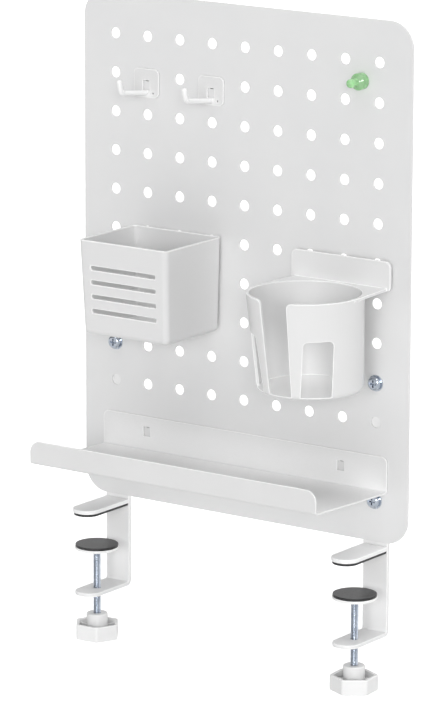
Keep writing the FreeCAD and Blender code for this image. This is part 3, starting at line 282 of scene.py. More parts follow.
    def tinted(self, factor: Socket, base: Socket, other: Colour) -> Socket:
        """Mixes a worked-out colour towards a fixed one.

        Args:
            factor: 0 keeps the base and 1 gives the other.
            base: The worked-out colour.
            other: The fixed colour.

        Returns:
            The mixed colour.
        """
        mixed = self.blend(factor, other, other)
        first = [socket for socket in mixed.node.inputs if socket.type == "RGBA"][0]
        self.join(base, first)
        return mixed

    def relief(self, height: Socket, depth: float, strength: float = 1.0,
               below: Optional[Socket] = None) -> Socket:
        """Adds a bump.

        Args:
            height: The relief, from 0 to 1.
            depth: Metres from its lowest to its highest point.
            strength: Share of the bump that is used.
            below: The normal that a coarser bump gives.

        Returns:
            The bumped normal.
        """
        node = self.add("ShaderNodeBump", {"Distance": depth, "Strength": strength})
        self.join(height, node.inputs["Height"])
        if below:
            self.join(below, node.inputs["Normal"])
        return node.outputs["Normal"]


@dataclass(frozen=True)
class WhiteSkin:
    """A white surface with a painted highlight on its edges, painted shade in its gaps and painted light on
    its shaded faces.
    """

    name: str
    colour: Colour = grey(0.70)
    shade: Colour = (0.68, 0.682, 0.685, 1.0)
    # Painted light that lightens the faces which nearby surfaces shade, and how far they reach.
    painted_fill: Colour = grey(0.80)
    painted_fill_reach: float = 45.0 * MM
    # Painted highlight along the sharp edges, and how far it reaches.
    painted_edge_highlight: Colour = grey(0.98)
    edge_highlight_reach: float = 0.9 * MM
    # Painted shade in narrow gaps, and how far a closing surface reaches.
    painted_gap_shade: Colour = (0.16, 0.16, 0.165, 1.0)
    painted_gap_shade_reach: float = 3.0 * MM

    def tone(self, sheet: ShaderSheet, cloud: Socket) -> Socket:
        """Works out the base colour, with painted light, a painted edge highlight and painted shade laid on.

        Args:
            sheet: The material's node tree.
            cloud: The noise that mixes colour and shade.

        Returns:
            The base colour.
        """
        tone = sheet.blend(sheet.spread(cloud, 0.0, 1.0), self.colour, self.shade)
        # Painted light: faces in the shade of nearby surfaces are lightened.
        tone = sheet.tinted(sheet.painted_fill_factor(self.painted_fill_reach), tone, self.painted_fill)
        # Painted highlight: the sharp edges are lightened.
        tone = sheet.tinted(sheet.edge_highlight_factor(self.edge_highlight_reach), tone, self.painted_edge_highlight)
        # Painted shade: narrow gaps and punched corners are darkened.
        return sheet.tinted(sheet.painted_gap_shade_factor(self.painted_gap_shade_reach), tone, self.painted_gap_shade)


@dataclass(frozen=True)
class PowderCoat(WhiteSkin):
    """Baked polyester powder on sheet steel: satin, with a faint orange peel and finer grain."""

    cloud_scale: float = 18.0
    peel_scale: float = 700.0
    peel_depth: float = 0.035 * MM
    grain_scale: float = 3800.0
    grain_depth: float = 0.010 * MM
    satin: tuple[float, float] = (0.40, 0.50)
    ior: float = 1.5

    def material(self) -> bpy.types.Material:
        """Builds the node material."""
        sheet = ShaderSheet(self.name)
        grain = sheet.noise(self.grain_scale, detail=2.0, roughness=0.6)
        peel = sheet.relief(sheet.noise(self.peel_scale, detail=1.0), self.peel_depth, 0.6)
        sheet.dress({"Base Color": self.tone(sheet, sheet.noise(self.cloud_scale, detail=3.0)),
                     "Roughness": sheet.spread(grain, *self.satin),
                     "Normal": sheet.relief(grain, self.grain_depth, 0.5, peel), "IOR": self.ior})
        return sheet.material


@dataclass(frozen=True)
class MouldedPlastic(WhiteSkin):
    """Injection-moulded white plastic: smooth, with a barely uneven skin."""

    name: str = "moulded_white"
    colour: Colour = grey(0.68)
    shade: Colour = (0.67, 0.67, 0.673, 1.0)
    flow_scale: float = 14.0
    skin_scale: float = 1600.0
    skin_depth: float = 0.008 * MM
    gloss: tuple[float, float] = (0.235, 0.25)
    ior: float = 1.49

    def material(self) -> bpy.types.Material:
        """Builds the node material."""
        sheet = ShaderSheet(self.name)
        skin = sheet.noise(self.skin_scale, detail=3.0)
        sheet.dress({"Base Color": self.tone(sheet, sheet.noise(self.flow_scale, detail=1.0)),
                     "Roughness": sheet.spread(skin, *self.gloss),
                     "Normal": sheet.relief(skin, self.skin_depth, 0.5), "IOR": self.ior})
        return sheet.material


@dataclass(frozen=True)
class Rubber:
    """Matt black rubber with a fine grain and dusty wear."""

    name: str = "black_rubber"
    colour: Colour = (0.014, 0.014, 0.015, 1.0)
    dust: Colour = (0.034, 0.034, 0.036, 1.0)
    wear_scale: float = 90.0
    grain_scale: float = 2600.0
    grain_depth: float = 0.04 * MM
    matt: tuple[float, float] = (0.30, 0.44)
    specular: float = 0.38

    def material(self) -> bpy.types.Material:
        """Builds the node material."""
        sheet = ShaderSheet(self.name)
        wear = sheet.noise(self.wear_scale, detail=6.0, roughness=0.65)
        grain = sheet.noise(self.grain_scale, detail=2.0)
        sheet.dress({"Base Color": sheet.blend(sheet.spread(wear, 0.0, 1.0), self.colour, self.dust),
                     "Roughness": sheet.spread(grain, *self.matt),
                     "Normal": sheet.relief(grain, self.grain_depth, 0.6),
                     "Specular IOR Level": self.specular})
        return sheet.material


@dataclass(frozen=True)
class ZincPlate:
    """Bright blue zinc plating on steel, with a turned or pressed grain and painted shade in its hollows."""

    name: str = "zinc_steel"
    colour: Colour = (0.45, 0.50, 0.58, 1.0)
    tint: Colour = (0.58, 0.62, 0.68, 1.0)
    painted_recess_shade: Colour = (0.05, 0.06, 0.085, 1.0)
    painted_recess_shade_reach: float = 2.6 * MM
    cloud_scale: float = 260.0
    scratch_scale: float = 2400.0
    scratch_depth: float = 0.006 * MM
    gloss: tuple[float, float] = (0.10, 0.18)

    def material(self) -> bpy.types.Material:
        """Builds the node material."""
        sheet = ShaderSheet(self.name)
        cloud = sheet.noise(self.cloud_scale, detail=4.0, roughness=0.6)
        plate = sheet.blend(sheet.spread(cloud, 0.0, 1.0), self.colour, self.tint)
        # Painted shade darkens the hollows, such as the cross in a screw head.
        plate = sheet.tinted(sheet.painted_gap_shade_factor(self.painted_recess_shade_reach), plate, self.painted_recess_shade)
        scratches = sheet.noise(self.scratch_scale, detail=2.0)
        sheet.dress({"Base Color": plate, "Roughness": sheet.spread(cloud, *self.gloss),
                     "Normal": sheet.relief(scratches, self.scratch_depth, 0.5), "Metallic": 1.0})
        return sheet.material


@dataclass(frozen=True)
class ClearGreen:
    """Clear green styrene, glossy, with a faint haze of mould flow."""

    name: str = "green_plastic"
    colour: Colour = (0.57, 0.96, 0.53, 1.0)
    deep: Colour = (0.49, 0.93, 0.46, 1.0)
    clearness: float = 0.50
    gloss: tuple[float, float] = (0.02, 0.05)
    flow_scale: float = 220.0
    ior: float = 1.5

    def material(self) -> bpy.types.Material:
        """Builds the node material."""
        sheet = ShaderSheet(self.name)
        flow = sheet.noise(self.flow_scale, detail=2.0)
        sheet.dress({"Base Color": sheet.blend(sheet.spread(flow, 0.0, 1.0), self.colour, self.deep),
                     "Roughness": sheet.spread(flow, *self.gloss), "Transmission Weight": self.clearness,
                     "IOR": self.ior})
        return sheet.material


@dataclass(frozen=True)
class NickelPlate:
    """Nickel plating on a sintered magnet, slightly clouded."""

    name: str = "nickel_magnet"
    colour: Colour = (0.72, 0.71, 0.69, 1.0)
    cloud: Colour = (0.64, 0.63, 0.61, 1.0)
    gloss: tuple[float, float] = (0.14, 0.26)
    patch_scale: float = 600.0

    def material(self) -> bpy.types.Material:
        """Builds the node material."""
        sheet = ShaderSheet(self.name)
        patches = sheet.noise(self.patch_scale, detail=4.0)
        sheet.dress({"Base Color": sheet.blend(sheet.spread(patches, 0.0, 1.0), self.colour, self.cloud),
                     "Roughness": sheet.spread(patches, *self.gloss), "Metallic": 1.0})
        return sheet.material


@dataclass(frozen=True)
class PaleFloor:
    """Plain pale studio floor, with a glow that only the camera sees and that lights nothing."""

    name: str = "studio_floor"
    colour: Colour = (0.93, 0.93, 0.93, 1.0)
    tint: Colour = (0.92, 0.92, 0.92, 1.0)
    glow: float = 0.44
    roughness: float = 0.9
    cloud_scale: float = 2.0

    def material(self) -> bpy.types.Material:
        """Builds the node material."""
        sheet = ShaderSheet(self.name)
        seen = sheet.add("ShaderNodeMath", {1: self.glow}, operation="MULTIPLY")
        sheet.join(sheet.add("ShaderNodeLightPath").outputs["Is Camera Ray"], seen.inputs[0])
        sheet.dress({"Base Color": sheet.blend(sheet.noise(self.cloud_scale), self.colour, self.tint),
                     "Roughness": self.roughness, "Emission Color": WHITE,
                     "Emission Strength": seen.outputs["Value"]})
        return sheet.material


class FinishShelf:
    """Every finish's material, built once."""

    def __init__(self) -> None:
        """Builds the materials."""
        surfaces = {
            # The four coats are one white powder coat in copies of different lightness. The frame coat's and
            # the lighter copy's higher tones are painted light against the shade under the board and tray. The
            # panel's and sheet coat's third tones are painted light on shaded faces, and the panel's last tone
            # is a faint painted edge highlight.
            Finish.PANEL_COAT: PowderCoat("panel_coat", painted_fill=grey(0.72), painted_edge_highlight=grey(0.72)),
            Finish.SHEET_COAT: PowderCoat("sheet_coat", grey(0.68), grey(0.66), grey(0.93)),
            Finish.FRAME_COAT: PowderCoat("frame_coat", grey(0.79), grey(0.77)),
            Finish.BRIGHT_COAT: PowderCoat("bright_coat", grey(0.86), grey(0.85), grey(0.93)),
            # The three moulded whites are one plastic. Their different lightness, the knob's most of all, is
            # painted light and shade set to how each part is lit.
            Finish.MOULDED_WHITE: MouldedPlastic(edge_highlight_reach=1.4 * MM),
            Finish.CUP_WHITE: MouldedPlastic("cup_white", grey(0.71), grey(0.70), edge_highlight_reach=1.2 * MM),
            Finish.KNOB_WHITE: MouldedPlastic("knob_white", grey(0.80), grey(0.79), flow_scale=60.0),
            Finish.BLACK_RUBBER: Rubber(),
            Finish.ZINC_STEEL: ZincPlate(),
            Finish.GREEN_PLASTIC: ClearGreen(),
            Finish.NICKEL_MAGNET: NickelPlate(),
        }
        self.materials = {finish: surface.material() for finish, surface in surfaces.items()}

    def __getitem__(self, finish: Finish) -> bpy.types.Material:
        """The finish's material."""
        return self.materials[finish]


# ---- making and placing pieces


def paint(piece: bpy.types.Object, material: bpy.types.Material) -> None:
    """Makes a material the only one of an object.

    Args:
        piece: The mesh object.
        material: Its finish.
    """
    if not piece.data.materials:
        piece.data.materials.append(material)
    for place in piece.material_slots:
        place.material = material


def finish_piece(piece: bpy.types.Object, body: str, finish: Finish, shelf: FinishShelf,
                 replaces: Sequence[str] = ()) -> bpy.types.Object:
    """Dresses a finished piece and hands it to the frame.

    Args:
        piece: The mesh object, at the origin, unturned and unscaled.
        body: The body that it rides on.
        finish: Its surface finish.
        shelf: The finished materials.
        replaces: Frame nodes that it stands for.

    Returns:
        The same object.
    """
    paint(piece, shelf[finish])
    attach(piece, body)
    if replaces:
        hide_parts(*replaces)
    log.info("%s rides on %s: %d faces", piece.name, body, len(piece.data.polygons))
    return piece


@dataclass(frozen=True)
class EdgeRound:
    """How a part's sharp edges are softened."""

    width: float = 0.25 * MM
    steps: int = 2
    sharpest: float = math.radians(38.0)

    def copy_of(self, node: str, name: str) -> bpy.types.Object:
        """Copies a frame node with its sharp edges rounded.

        Args:
            node: The frame node.
            name: The new piece's name.

        Returns:
            The rounded piece, as a plain mesh.
        """
        shape = bmesh.new()
        shape.from_mesh(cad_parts[node].data)
        bmesh.ops.remove_doubles(shape, verts=shape.verts, dist=WELD)
        bmesh.ops.dissolve_limit(shape, angle_limit=FLAT_ANGLE, verts=shape.verts, edges=shape.edges)
        mesh = bpy.data.meshes.new(name)
        shape.to_mesh(mesh)
        shape.free()
        mesh.shade_smooth()
        piece = bpy.data.objects.new(name, mesh)
        bpy.context.scene.collection.objects.link(piece)
        bevel = piece.modifiers.new("edge_round", "BEVEL")
        bevel.width, bevel.segments = self.width, self.steps
        bevel.limit_method, bevel.angle_limit = "ANGLE", self.sharpest
        bevel.use_clamp_overlap = bevel.loop_slide = False
        bevel.harden_normals = True
        return levelled(piece)


def baked(piece: bpy.types.Object) -> bpy.types.Object:
    """Turns an object's modifiers into a plain mesh.

    Args:
        piece: The object with live modifiers.

    Returns:
        The same object, with the evaluated mesh and no modifier.
    """
    graph = bpy.context.evaluated_depsgraph_get()
    mesh = bpy.data.meshes.new_from_object(piece.evaluated_get(graph), depsgraph=graph)
    old = piece.data
    piece.modifiers.clear()
    piece.data = mesh
    bpy.data.meshes.remove(old)
    return piece


def levelled(piece: bpy.types.Object) -> bpy.types.Object:
    """Turns an object's normals towards its large faces, and bakes its modifiers.

    Args:
        piece: The object.

    Returns:
        The same object, with a plain mesh.
    """
    level = piece.modifiers.new("level_faces", "WEIGHTED_NORMAL")
    level.weight = NORMAL_WEIGHT
    return baked(piece)


Term = Any


class GeometryRecipe:
    """A Geometry Nodes tree with named sizes, which ends in Realize Instances and Set Material."""

    def __init__(self, name: str) -> None:
        """Starts an empty tree.

        Args:
            name: The tree's name.
        """
        self.tree = bpy.data.node_groups.new(name, "GeometryNodeTree")
        self.tree.interface.new_socket("Geometry", in_out="OUTPUT", socket_type="NodeSocketGeometry")
        self.inlet = self.tree.nodes.new("NodeGroupInput")
        self.outlet = self.tree.nodes.new("NodeGroupOutput")
        self.sizes: dict[str, float] = {}

    def size(self, name: str, value: float) -> Socket:
        """Adds a named input.

        Args:
            name: The input's name.
            value: What the modifier sets it to. A whole number makes a whole-number input.

        Returns:
            The input inside the tree.
        """
        kind = "NodeSocketInt" if isinstance(value, int) else "NodeSocketFloat"
        socket = self.tree.interface.new_socket(name, in_out="INPUT", socket_type=kind)
        self.sizes[socket.identifier] = value
        return self.inlet.outputs[name]

    def add(self, kind: str, values: Optional[dict[Any, Term]] = None, **settings: Any) -> bpy.types.Node:
        """Adds a node.

        Args:
            kind: The node's type name.
            values: What its inputs take, by socket name or number: another node's output or a constant.
            settings: The node's own properties.

        Returns:
            The new node.
        """
        node = self.tree.nodes.new(kind)
        for key, value in settings.items():
            setattr(node, key, value)
        for key, value in (values or {}).items():
            if isinstance(value, Socket):
                self.tree.links.new(value, node.inputs[key])
            else:
                node.inputs[key].default_value = value
        return node

    def calc(self, operation: str, *terms: Term) -> Socket:
        """Adds one arithmetic step and returns its result."""
        return self.add("ShaderNodeMath", dict(enumerate(terms)), operation=operation).outputs["Value"]

    def vector(self, x: Term, y: Term, z: Term) -> Socket:
        """Joins three numbers to a vector."""
        return self.add("ShaderNodeCombineXYZ", {"X": x, "Y": y, "Z": z}).outputs["Vector"]

    def sheet(self, around: Term, along: Term) -> tuple[Socket, Socket, Socket]:
        """Adds a flat grid that later steps wrap round an axis.

        Args:
            around: Vertices round the axis, the last on top of the first.
            along: Vertices along the axis or the profile.

        Returns:
            The grid, and its shares of the way around and along, from 0 to 1.
        """
        grid = self.add("GeometryNodeMeshGrid", {"Size X": 1.0, "Size Y": 1.0, "Vertices X": around,
                                                 "Vertices Y": along})
        position = self.add("GeometryNodeInputPosition").outputs["Position"]
        split = self.add("ShaderNodeSeparateXYZ", {"Vector": position})
        shares = [self.calc("ADD", split.outputs[axis], 0.5) for axis in "XY"]
        return grid.outputs["Mesh"], shares[0], shares[1]

    def lattice(self, columns: Term, rows: Term, pitch_x: Term, pitch_z: Term, first: tuple[Term, Term, Term],
                shape: Socket, turn: tuple[float, float, float]) -> Socket:
        """Repeats a shape on an upright lattice of points.

        Args:
            columns: Points across.
            rows: Points up.
            pitch_x: Step across.
            pitch_z: Step up.
            first: The lowest point on the left.
            shape: What is repeated.
            turn: Its turn about X, Y and Z, in radians.

        Returns:
            The instances.
        """
        index = self.add("GeometryNodeInputIndex").outputs["Index"]
        column = self.calc("FLOORED_MODULO", index, columns)
        row = self.calc("FLOOR", self.calc("DIVIDE", self.calc("ADD", index, 0.5), columns))
        x, y, z = first
        place = self.vector(self.calc("MULTIPLY_ADD", column, pitch_x, x), y,
                            self.calc("MULTIPLY_ADD", row, pitch_z, z))
        count = self.calc("MULTIPLY", columns, rows)
        points = self.add("GeometryNodePoints", {"Count": count, "Position": place})
        spread = self.add("GeometryNodeInstanceOnPoints",
                          {"Points": points.outputs["Points"], "Instance": shape, "Rotation": turn})
        return spread.outputs["Instances"]

    def make(self, name: str, geometry: Socket, material: bpy.types.Material) -> bpy.types.Object:
        """Closes the tree and turns its result into a plain mesh.

        Args:
            name: The piece's name.
            geometry: What the tree has built.
            material: Its finish.

        Returns:
            The piece, at the origin, with no modifier.
        """
        real = self.add("GeometryNodeRealizeInstances", {"Geometry": geometry})
        welded = self.add("GeometryNodeMergeByDistance",
                          {"Geometry": real.outputs["Geometry"], "Distance": WELD})
        smooth = self.add("GeometryNodeSetShadeSmooth", {"Geometry": welded.outputs["Geometry"]})
        dressed = self.add("GeometryNodeSetMaterial",
                           {"Geometry": smooth.outputs["Geometry"], "Material": material})
        self.tree.links.new(dressed.outputs["Geometry"], self.outlet.inputs["Geometry"])
        piece = bpy.data.objects.new(name, bpy.data.meshes.new(name))
        bpy.context.scene.collection.objects.link(piece)
        modifier = piece.modifiers.new(self.tree.name, "NODES")
        modifier.node_group = self.tree
        for identifier, value in self.sizes.items():
            modifier[identifier] = value
        return baked(piece)


@dataclass(frozen=True)
class Thread:
    """A rolled metric thread: a ridge that winds round a core, run out at both ends."""

    crest_radius: float
    pitch: float
    length: float
    depth_share: float = 0.58
    flat_share: float = 0.12
    around: int = 32
    rings_per_turn: int = 8
    crest_slack: float = 0.01 * MM
    end_gap: float = 1e-7

    def make_room(self, core: bpy.types.Object, centre: Sequence[float], axis: int,
                  span: tuple[float, float]) -> None:
        """Draws a core's shank in to the thread's root.

        Args:
            core: The piece that the thread winds round.
            centre: A point on its axis.
            axis: Which coordinate runs along it.
            span: From where to where along it.
        """
        root = self.crest_radius - self.depth_share * self.pitch
        low, high = span
        for vertex in core.data.vertices:
            reach = vertex.co - Vector(centre)
            reach[axis] = 0.0
            on_shank = low < vertex.co[axis] < high
            if on_shank and root < reach.length < self.crest_radius + self.crest_slack:
                vertex.co -= reach * (1.0 - root / reach.length)

    def rods(self, name: str, material: bpy.types.Material, first: tuple[float, float, float],
             columns: int = 1, rows: int = 1, pitch_x: float = 0.0, pitch_z: float = 0.0,
             turn: tuple[float, float, float] = (0.0, 0.0, 0.0)) -> bpy.types.Object:
        """Builds one or more threaded rods.

        Args:
            name: The piece's name.
            material: Its finish.
            first: Where the first rod starts.
            columns: Rods across.
            rows: Rods up.
            pitch_x: Step across.
            pitch_z: Step up.
            turn: Each rod's turn about X, Y and Z; unturned, it runs up.

        Returns:
            The rods as one plain mesh.
        """
        recipe = GeometryRecipe(name + "_thread")
        radius = recipe.size("Crest radius", self.crest_radius)
        pitch = recipe.size("Pitch", self.pitch)
        length = recipe.size("Length", self.length)
        depth = recipe.size("Depth", self.depth_share * self.pitch)
        around = recipe.size("Sides", self.around)
        rings = recipe.size("Rings", round(self.length / self.pitch * self.rings_per_turn))
        across, along = (recipe.calc("ADD", steps, 1.0) for steps in (around, rings))
        grid, turn_share, rise_share = recipe.sheet(across, along)
        height = recipe.calc("MULTIPLY", rise_share, length)
        turns = recipe.calc("SUBTRACT", recipe.calc("DIVIDE", height, pitch), turn_share)
        phase = recipe.calc("FRACT", turns)
        wave = recipe.calc("ABSOLUTE", recipe.calc("MULTIPLY_ADD", phase, 2.0, -1.0))
        ridge = recipe.add("ShaderNodeMapRange", {"Value": wave, "From Min": self.flat_share,
                                                  "From Max": 1.0 - self.flat_share})
        end = recipe.calc("MINIMUM", height, recipe.calc("SUBTRACT", length, height))
        run_out = recipe.calc("MINIMUM", recipe.calc("DIVIDE", end, pitch), 1.0)
        lift = recipe.calc("SUBTRACT", 1.0, recipe.calc("MULTIPLY", ridge.outputs["Result"], run_out))
        flank = recipe.calc("SUBTRACT", radius, recipe.calc("MULTIPLY", lift, depth))
        open_end = recipe.calc("GREATER_THAN", end, self.end_gap)
        reach = recipe.calc("MULTIPLY", flank, open_end)
        angle = recipe.calc("MULTIPLY", turn_share, math.tau)
        place = recipe.vector(recipe.calc("MULTIPLY", reach, recipe.calc("COSINE", angle)),
                              recipe.calc("MULTIPLY", reach, recipe.calc("SINE", angle)), height)
        rod = recipe.add("GeometryNodeSetPosition", {"Geometry": grid, "Position": place})
        rods = recipe.lattice(recipe.size("Columns", columns), recipe.size("Rows", rows),
                              recipe.size("Column step", pitch_x), recipe.size("Row step", pitch_z),
                              first, rod.outputs["Geometry"], turn)
        return recipe.make(name, rods, material)


# ---- sub-assemblies


@dataclass
class Pegboard:
    """The perforated sheet panel, with every hole's rim and the outer edge rounded by its coat."""

    columns: int = 9
    rows: int = 12
    pitch: float = 30.0 * MM
    hole_radius: float = 4.2 * MM
    thickness: float = 1.2 * MM
    first_row: float = 39.6 * MM
    half_width: float = 149.5 * MM
    foot: float = 8.1 * MM
    top: float = 401.1 * MM
    corner: float = 20.0 * MM
    rim_round: float = 0.25 * MM
    hole_sides: int = 32
    corner_steps: int = 16
    body: str = "clamped_board"

    def rim_profile(self) -> list[tuple[float, float]]:
        """The rounded edge as pairs of inset from the edge and depth from the front face."""
        full, part = self.rim_round, self.rim_round * (1.0 - math.sqrt(0.5))
        front = [(full, 0.0), (part, part), (0.0, full)]
        return front + [(inset, self.thickness - depth) for inset, depth in reversed(front)]

    def perforated_field(self, material: bpy.types.Material) -> bpy.types.Object:
        """Builds the square cells round every hole.

        Args:
            material: The panel's finish.

        Returns:
            The cells, welded, with an open outer edge.
        """
        recipe = GeometryRecipe("perforations")
        radius = recipe.size("Hole radius", self.hole_radius)
        pitch = recipe.size("Hole pitch", self.pitch)
        columns, rows = recipe.size("Columns", self.columns), recipe.size("Rows", self.rows)
        sides = recipe.size("Hole sides", self.hole_sides)
        profile = self.rim_profile()
        steps = len(profile) + 2
        grid, turn_share, _ = recipe.sheet(recipe.calc("ADD", sides, 1.0), steps)
        index = recipe.add("GeometryNodeInputIndex").outputs["Index"]
        step = recipe.calc("FLOORED_MODULO", index, float(steps))
        angle = recipe.calc("MULTIPLY", turn_share, math.tau)
        cosine, sine = recipe.calc("COSINE", angle), recipe.calc("SINE", angle)
        longer = recipe.calc("MAXIMUM", recipe.calc("ABSOLUTE", cosine), recipe.calc("ABSOLUTE", sine))
        cell = recipe.calc("DIVIDE", recipe.calc("MULTIPLY", pitch, 0.5), longer)
        reaches = [cell] + [recipe.calc("ADD", radius, inset) for inset, _ in profile] + [cell]
        depths = [0.0] + [depth for _, depth in profile] + [self.thickness]
        reach = self.choose(recipe, step, reaches)
        depth = self.choose(recipe, step, [value - self.thickness for value in depths])
        x, z = (recipe.calc("MULTIPLY", reach, share) for share in (cosine, sine))
        place = recipe.vector(x, depth, z)
        tile = recipe.add("GeometryNodeSetPosition", {"Geometry": grid, "Position": place})
        first_column = -(self.columns - 1) / 2 * self.pitch
        cells = recipe.lattice(columns, rows, pitch, pitch, (first_column, 0.0, self.first_row),
                               tile.outputs["Geometry"], (0.0, 0.0, 0.0))
        return recipe.make("perforated_panel", cells, material)

    @staticmethod
    def choose(recipe: GeometryRecipe, index: Socket, options: Sequence[Term]) -> Socket:
        """Picks one of several numbers by a whole number.

        Args:
            recipe: The tree that gets the node.
            index: Which option, from 0.
            options: The numbers.

        Returns:
            The chosen number.
        """
        node = recipe.add("GeometryNodeIndexSwitch", data_type="FLOAT")
        while len(node.index_switch_items) < len(options):
            node.index_switch_items.new()
        recipe.tree.links.new(index, node.inputs[0])
        for socket, option in zip(list(node.inputs)[1:], options):
            if isinstance(option, Socket):
                recipe.tree.links.new(option, socket)
            else:
                socket.default_value = option
        return node.outputs[0]

    def outline(self, shape: bmesh.types.BMesh, inset: float, depth: float) -> list[bmesh.types.BMVert]:
        """Adds one loop of the panel's rounded outline.

        Args:
            shape: The mesh that gets the loop.
            inset: How far inside the edge it runs.
            depth: How far behind the front face it lies.

        Returns:
            The loop's vertices in order.
        """
        loop = []
        corner = self.corner - inset
        quarters = ((1, self.top), (-1, self.top), (-1, self.foot), (1, self.foot))
        for quarter, (side, level) in enumerate(quarters):
            middle_x = side * (self.half_width - self.corner)
            middle_z = level - self.corner if level == self.top else level + self.corner
            for step in range(self.corner_steps + 1):
                angle = math.radians(90.0) * (quarter + step / self.corner_steps)
                loop.append(shape.verts.new((middle_x + corner * math.cos(angle), depth - self.thickness,
                                             middle_z + corner * math.sin(angle))))
        return loop

    def close_border(self, panel: bpy.types.Object) -> None:
        """Joins the field of holes to the rounded outer edge.

        Args:
            panel: The field, whose mesh is completed.
        """
        shape = bmesh.new()
        shape.from_mesh(panel.data)
        open_edges = [edge for edge in shape.edges if edge.is_boundary]
        middle = -self.thickness / 2
        front = [edge for edge in open_edges if edge.verts[0].co.y < middle]
        back = [edge for edge in open_edges if edge.verts[0].co.y > middle]
        loops = [self.outline(shape, inset, depth) for inset, depth in self.rim_profile()]
        for near, far in zip(loops, loops[1:]):
            for a, b, c, d in zip(near, near[1:] + near[:1], far[1:] + far[:1], far):
                shape.faces.new((a, b, c, d))
        for inner, outer in ((front, loops[0]), (back, loops[-1])):
            ring = [shape.edges.get((a, b)) for a, b in zip(outer, outer[1:] + outer[:1])]
            bmesh.ops.triangle_fill(shape, edges=inner + ring, use_beauty=True)
        bmesh.ops.recalc_face_normals(shape, faces=shape.faces)
        shape.to_mesh(panel.data)
        shape.free()
        panel.data.shade_smooth()
        levelled(panel)

    def build(self, shelf: FinishShelf) -> None:
        """Builds and dresses the panel.

        Args:
            shelf: The finished materials.
        """
        panel = self.perforated_field(shelf[Finish.PANEL_COAT])
        self.close_border(panel)
        finish_piece(panel, self.body, Finish.PANEL_COAT, shelf, ["pegboard_panel"])


@dataclass
class DeskClamp:
    """One clamp: strip with its bent arm, welded jaw, rubber pads, disc, screw and knob."""

    side: Side
    spindle_spread: float = 120.0 * MM
    spindle_setback: float = -27.0 * MM
    thread: Thread = Thread(crest_radius=3.0 * MM, pitch=1.0 * MM, length=51.0 * MM)
    thread_start: float = -84.3 * MM
    shank: tuple[float, float] = (-97.3 * MM, -33.05 * MM)
    sheet_edge: EdgeRound = EdgeRound(width=0.4 * MM)
    rubber_edge: EdgeRound = EdgeRound(width=0.3 * MM)
    knob_edge: EdgeRound = EdgeRound(width=0.35 * MM)

    def build(self, shelf: FinishShelf) -> None:
        """Builds and dresses the clamp.

        Args:
            shelf: The finished materials.
        """
        side = self.side.word
        parts = (
            ("clamp_frame", "clamped_board", Finish.FRAME_COAT, self.sheet_edge),
            ("upper_jaw", "clamped_board", Finish.BRIGHT_COAT, self.sheet_edge),
            ("jaw_pad", "clamped_board", Finish.BLACK_RUBBER, self.rubber_edge),
            ("pressure_disc", side + "_foot", Finish.BRIGHT_COAT, self.sheet_edge),
            ("disc_pad", side + "_foot", Finish.BLACK_RUBBER, self.rubber_edge),
            ("knob", side + "_spindle", Finish.KNOB_WHITE, self.knob_edge),
        )
        for part, body, finish, edge in parts:
            node = "%s_%s" % (side, part)
            finish_piece(edge.copy_of(node, node + "_finished"), body, finish, shelf, [node])
        self.build_spindle(shelf)

    def build_spindle(self, shelf: FinishShelf) -> None:
        """Builds the threaded spindle: its core, and the thread that winds round it.

        Args:
            shelf: The finished materials.
        """
        side = self.side.word
        node = side + "_clamp_screw"
        axis_x = self.side.value * self.spindle_spread
        core = self.sheet_edge.copy_of(node, node + "_core")
        self.thread.make_room(core, (axis_x, self.spindle_setback, 0.0), 2, self.shank)
        finish_piece(core, side + "_spindle", Finish.ZINC_STEEL, shelf, [node])
        thread = self.thread.rods(side + "_spindle_thread", shelf[Finish.ZINC_STEEL],
                                  (axis_x, self.spindle_setback, self.thread_start))
        finish_piece(thread, side + "_spindle", Finish.ZINC_STEEL, shelf)


@dataclass
class PanelFasteners:
    """Pan-head screws, washers and nuts that hold the panel on the strips."""

    edge: EdgeRound = EdgeRound(width=0.15 * MM)
    thread: Thread = Thread(crest_radius=2.5 * MM, pitch=0.8 * MM, length=5.3 * MM)
    spread: float = 120.0 * MM
    levels: tuple[float, float] = (39.6 * MM, 129.6 * MM)
    shank: tuple[float, float] = (-2.5 * MM, 8.6 * MM)
    thread_start: float = 3.1 * MM
    body: str = "clamped_board"

    def build(self, shelf: FinishShelf) -> None:
        """Builds and dresses the fasteners.

        Args:
            shelf: The finished materials.
        """
        for node in ("panel_washers", "panel_nuts"):
            piece = self.edge.copy_of(node, node + "_finished")
            finish_piece(piece, self.body, Finish.ZINC_STEEL, shelf, [node])
        screws = self.edge.copy_of("panel_screws", "panel_screws_core")
        for side in Side:
            for level in self.levels:
                self.thread.make_room(screws, (side.value * self.spread, 0.0, level), 1, self.shank)
        finish_piece(screws, self.body, Finish.ZINC_STEEL, shelf, ["panel_screws"])
        low, high = self.levels
        threads = self.thread.rods("panel_screw_threads", shelf[Finish.ZINC_STEEL],
                                   (-self.spread, self.thread_start, low), columns=2, rows=2,
                                   pitch_x=2.0 * self.spread, pitch_z=high - low,
                                   turn=(math.radians(-90.0), 0.0, 0.0))
        finish_piece(threads, self.body, Finish.ZINC_STEEL, shelf)


@dataclass
class HungPart:
    """An accessory that hangs in the panel's holes: one node on its own body."""

    node: str
    body: str
    finish: Finish
    edge: EdgeRound

    def build(self, shelf: FinishShelf) -> None:
        """Builds and dresses the accessory.

        Args:
            shelf: The finished materials.
        """
        piece = self.edge.copy_of(self.node, self.node + "_finished")
        finish_piece(piece, self.body, self.finish, shelf, [self.node])


# ---- floor, light and camera


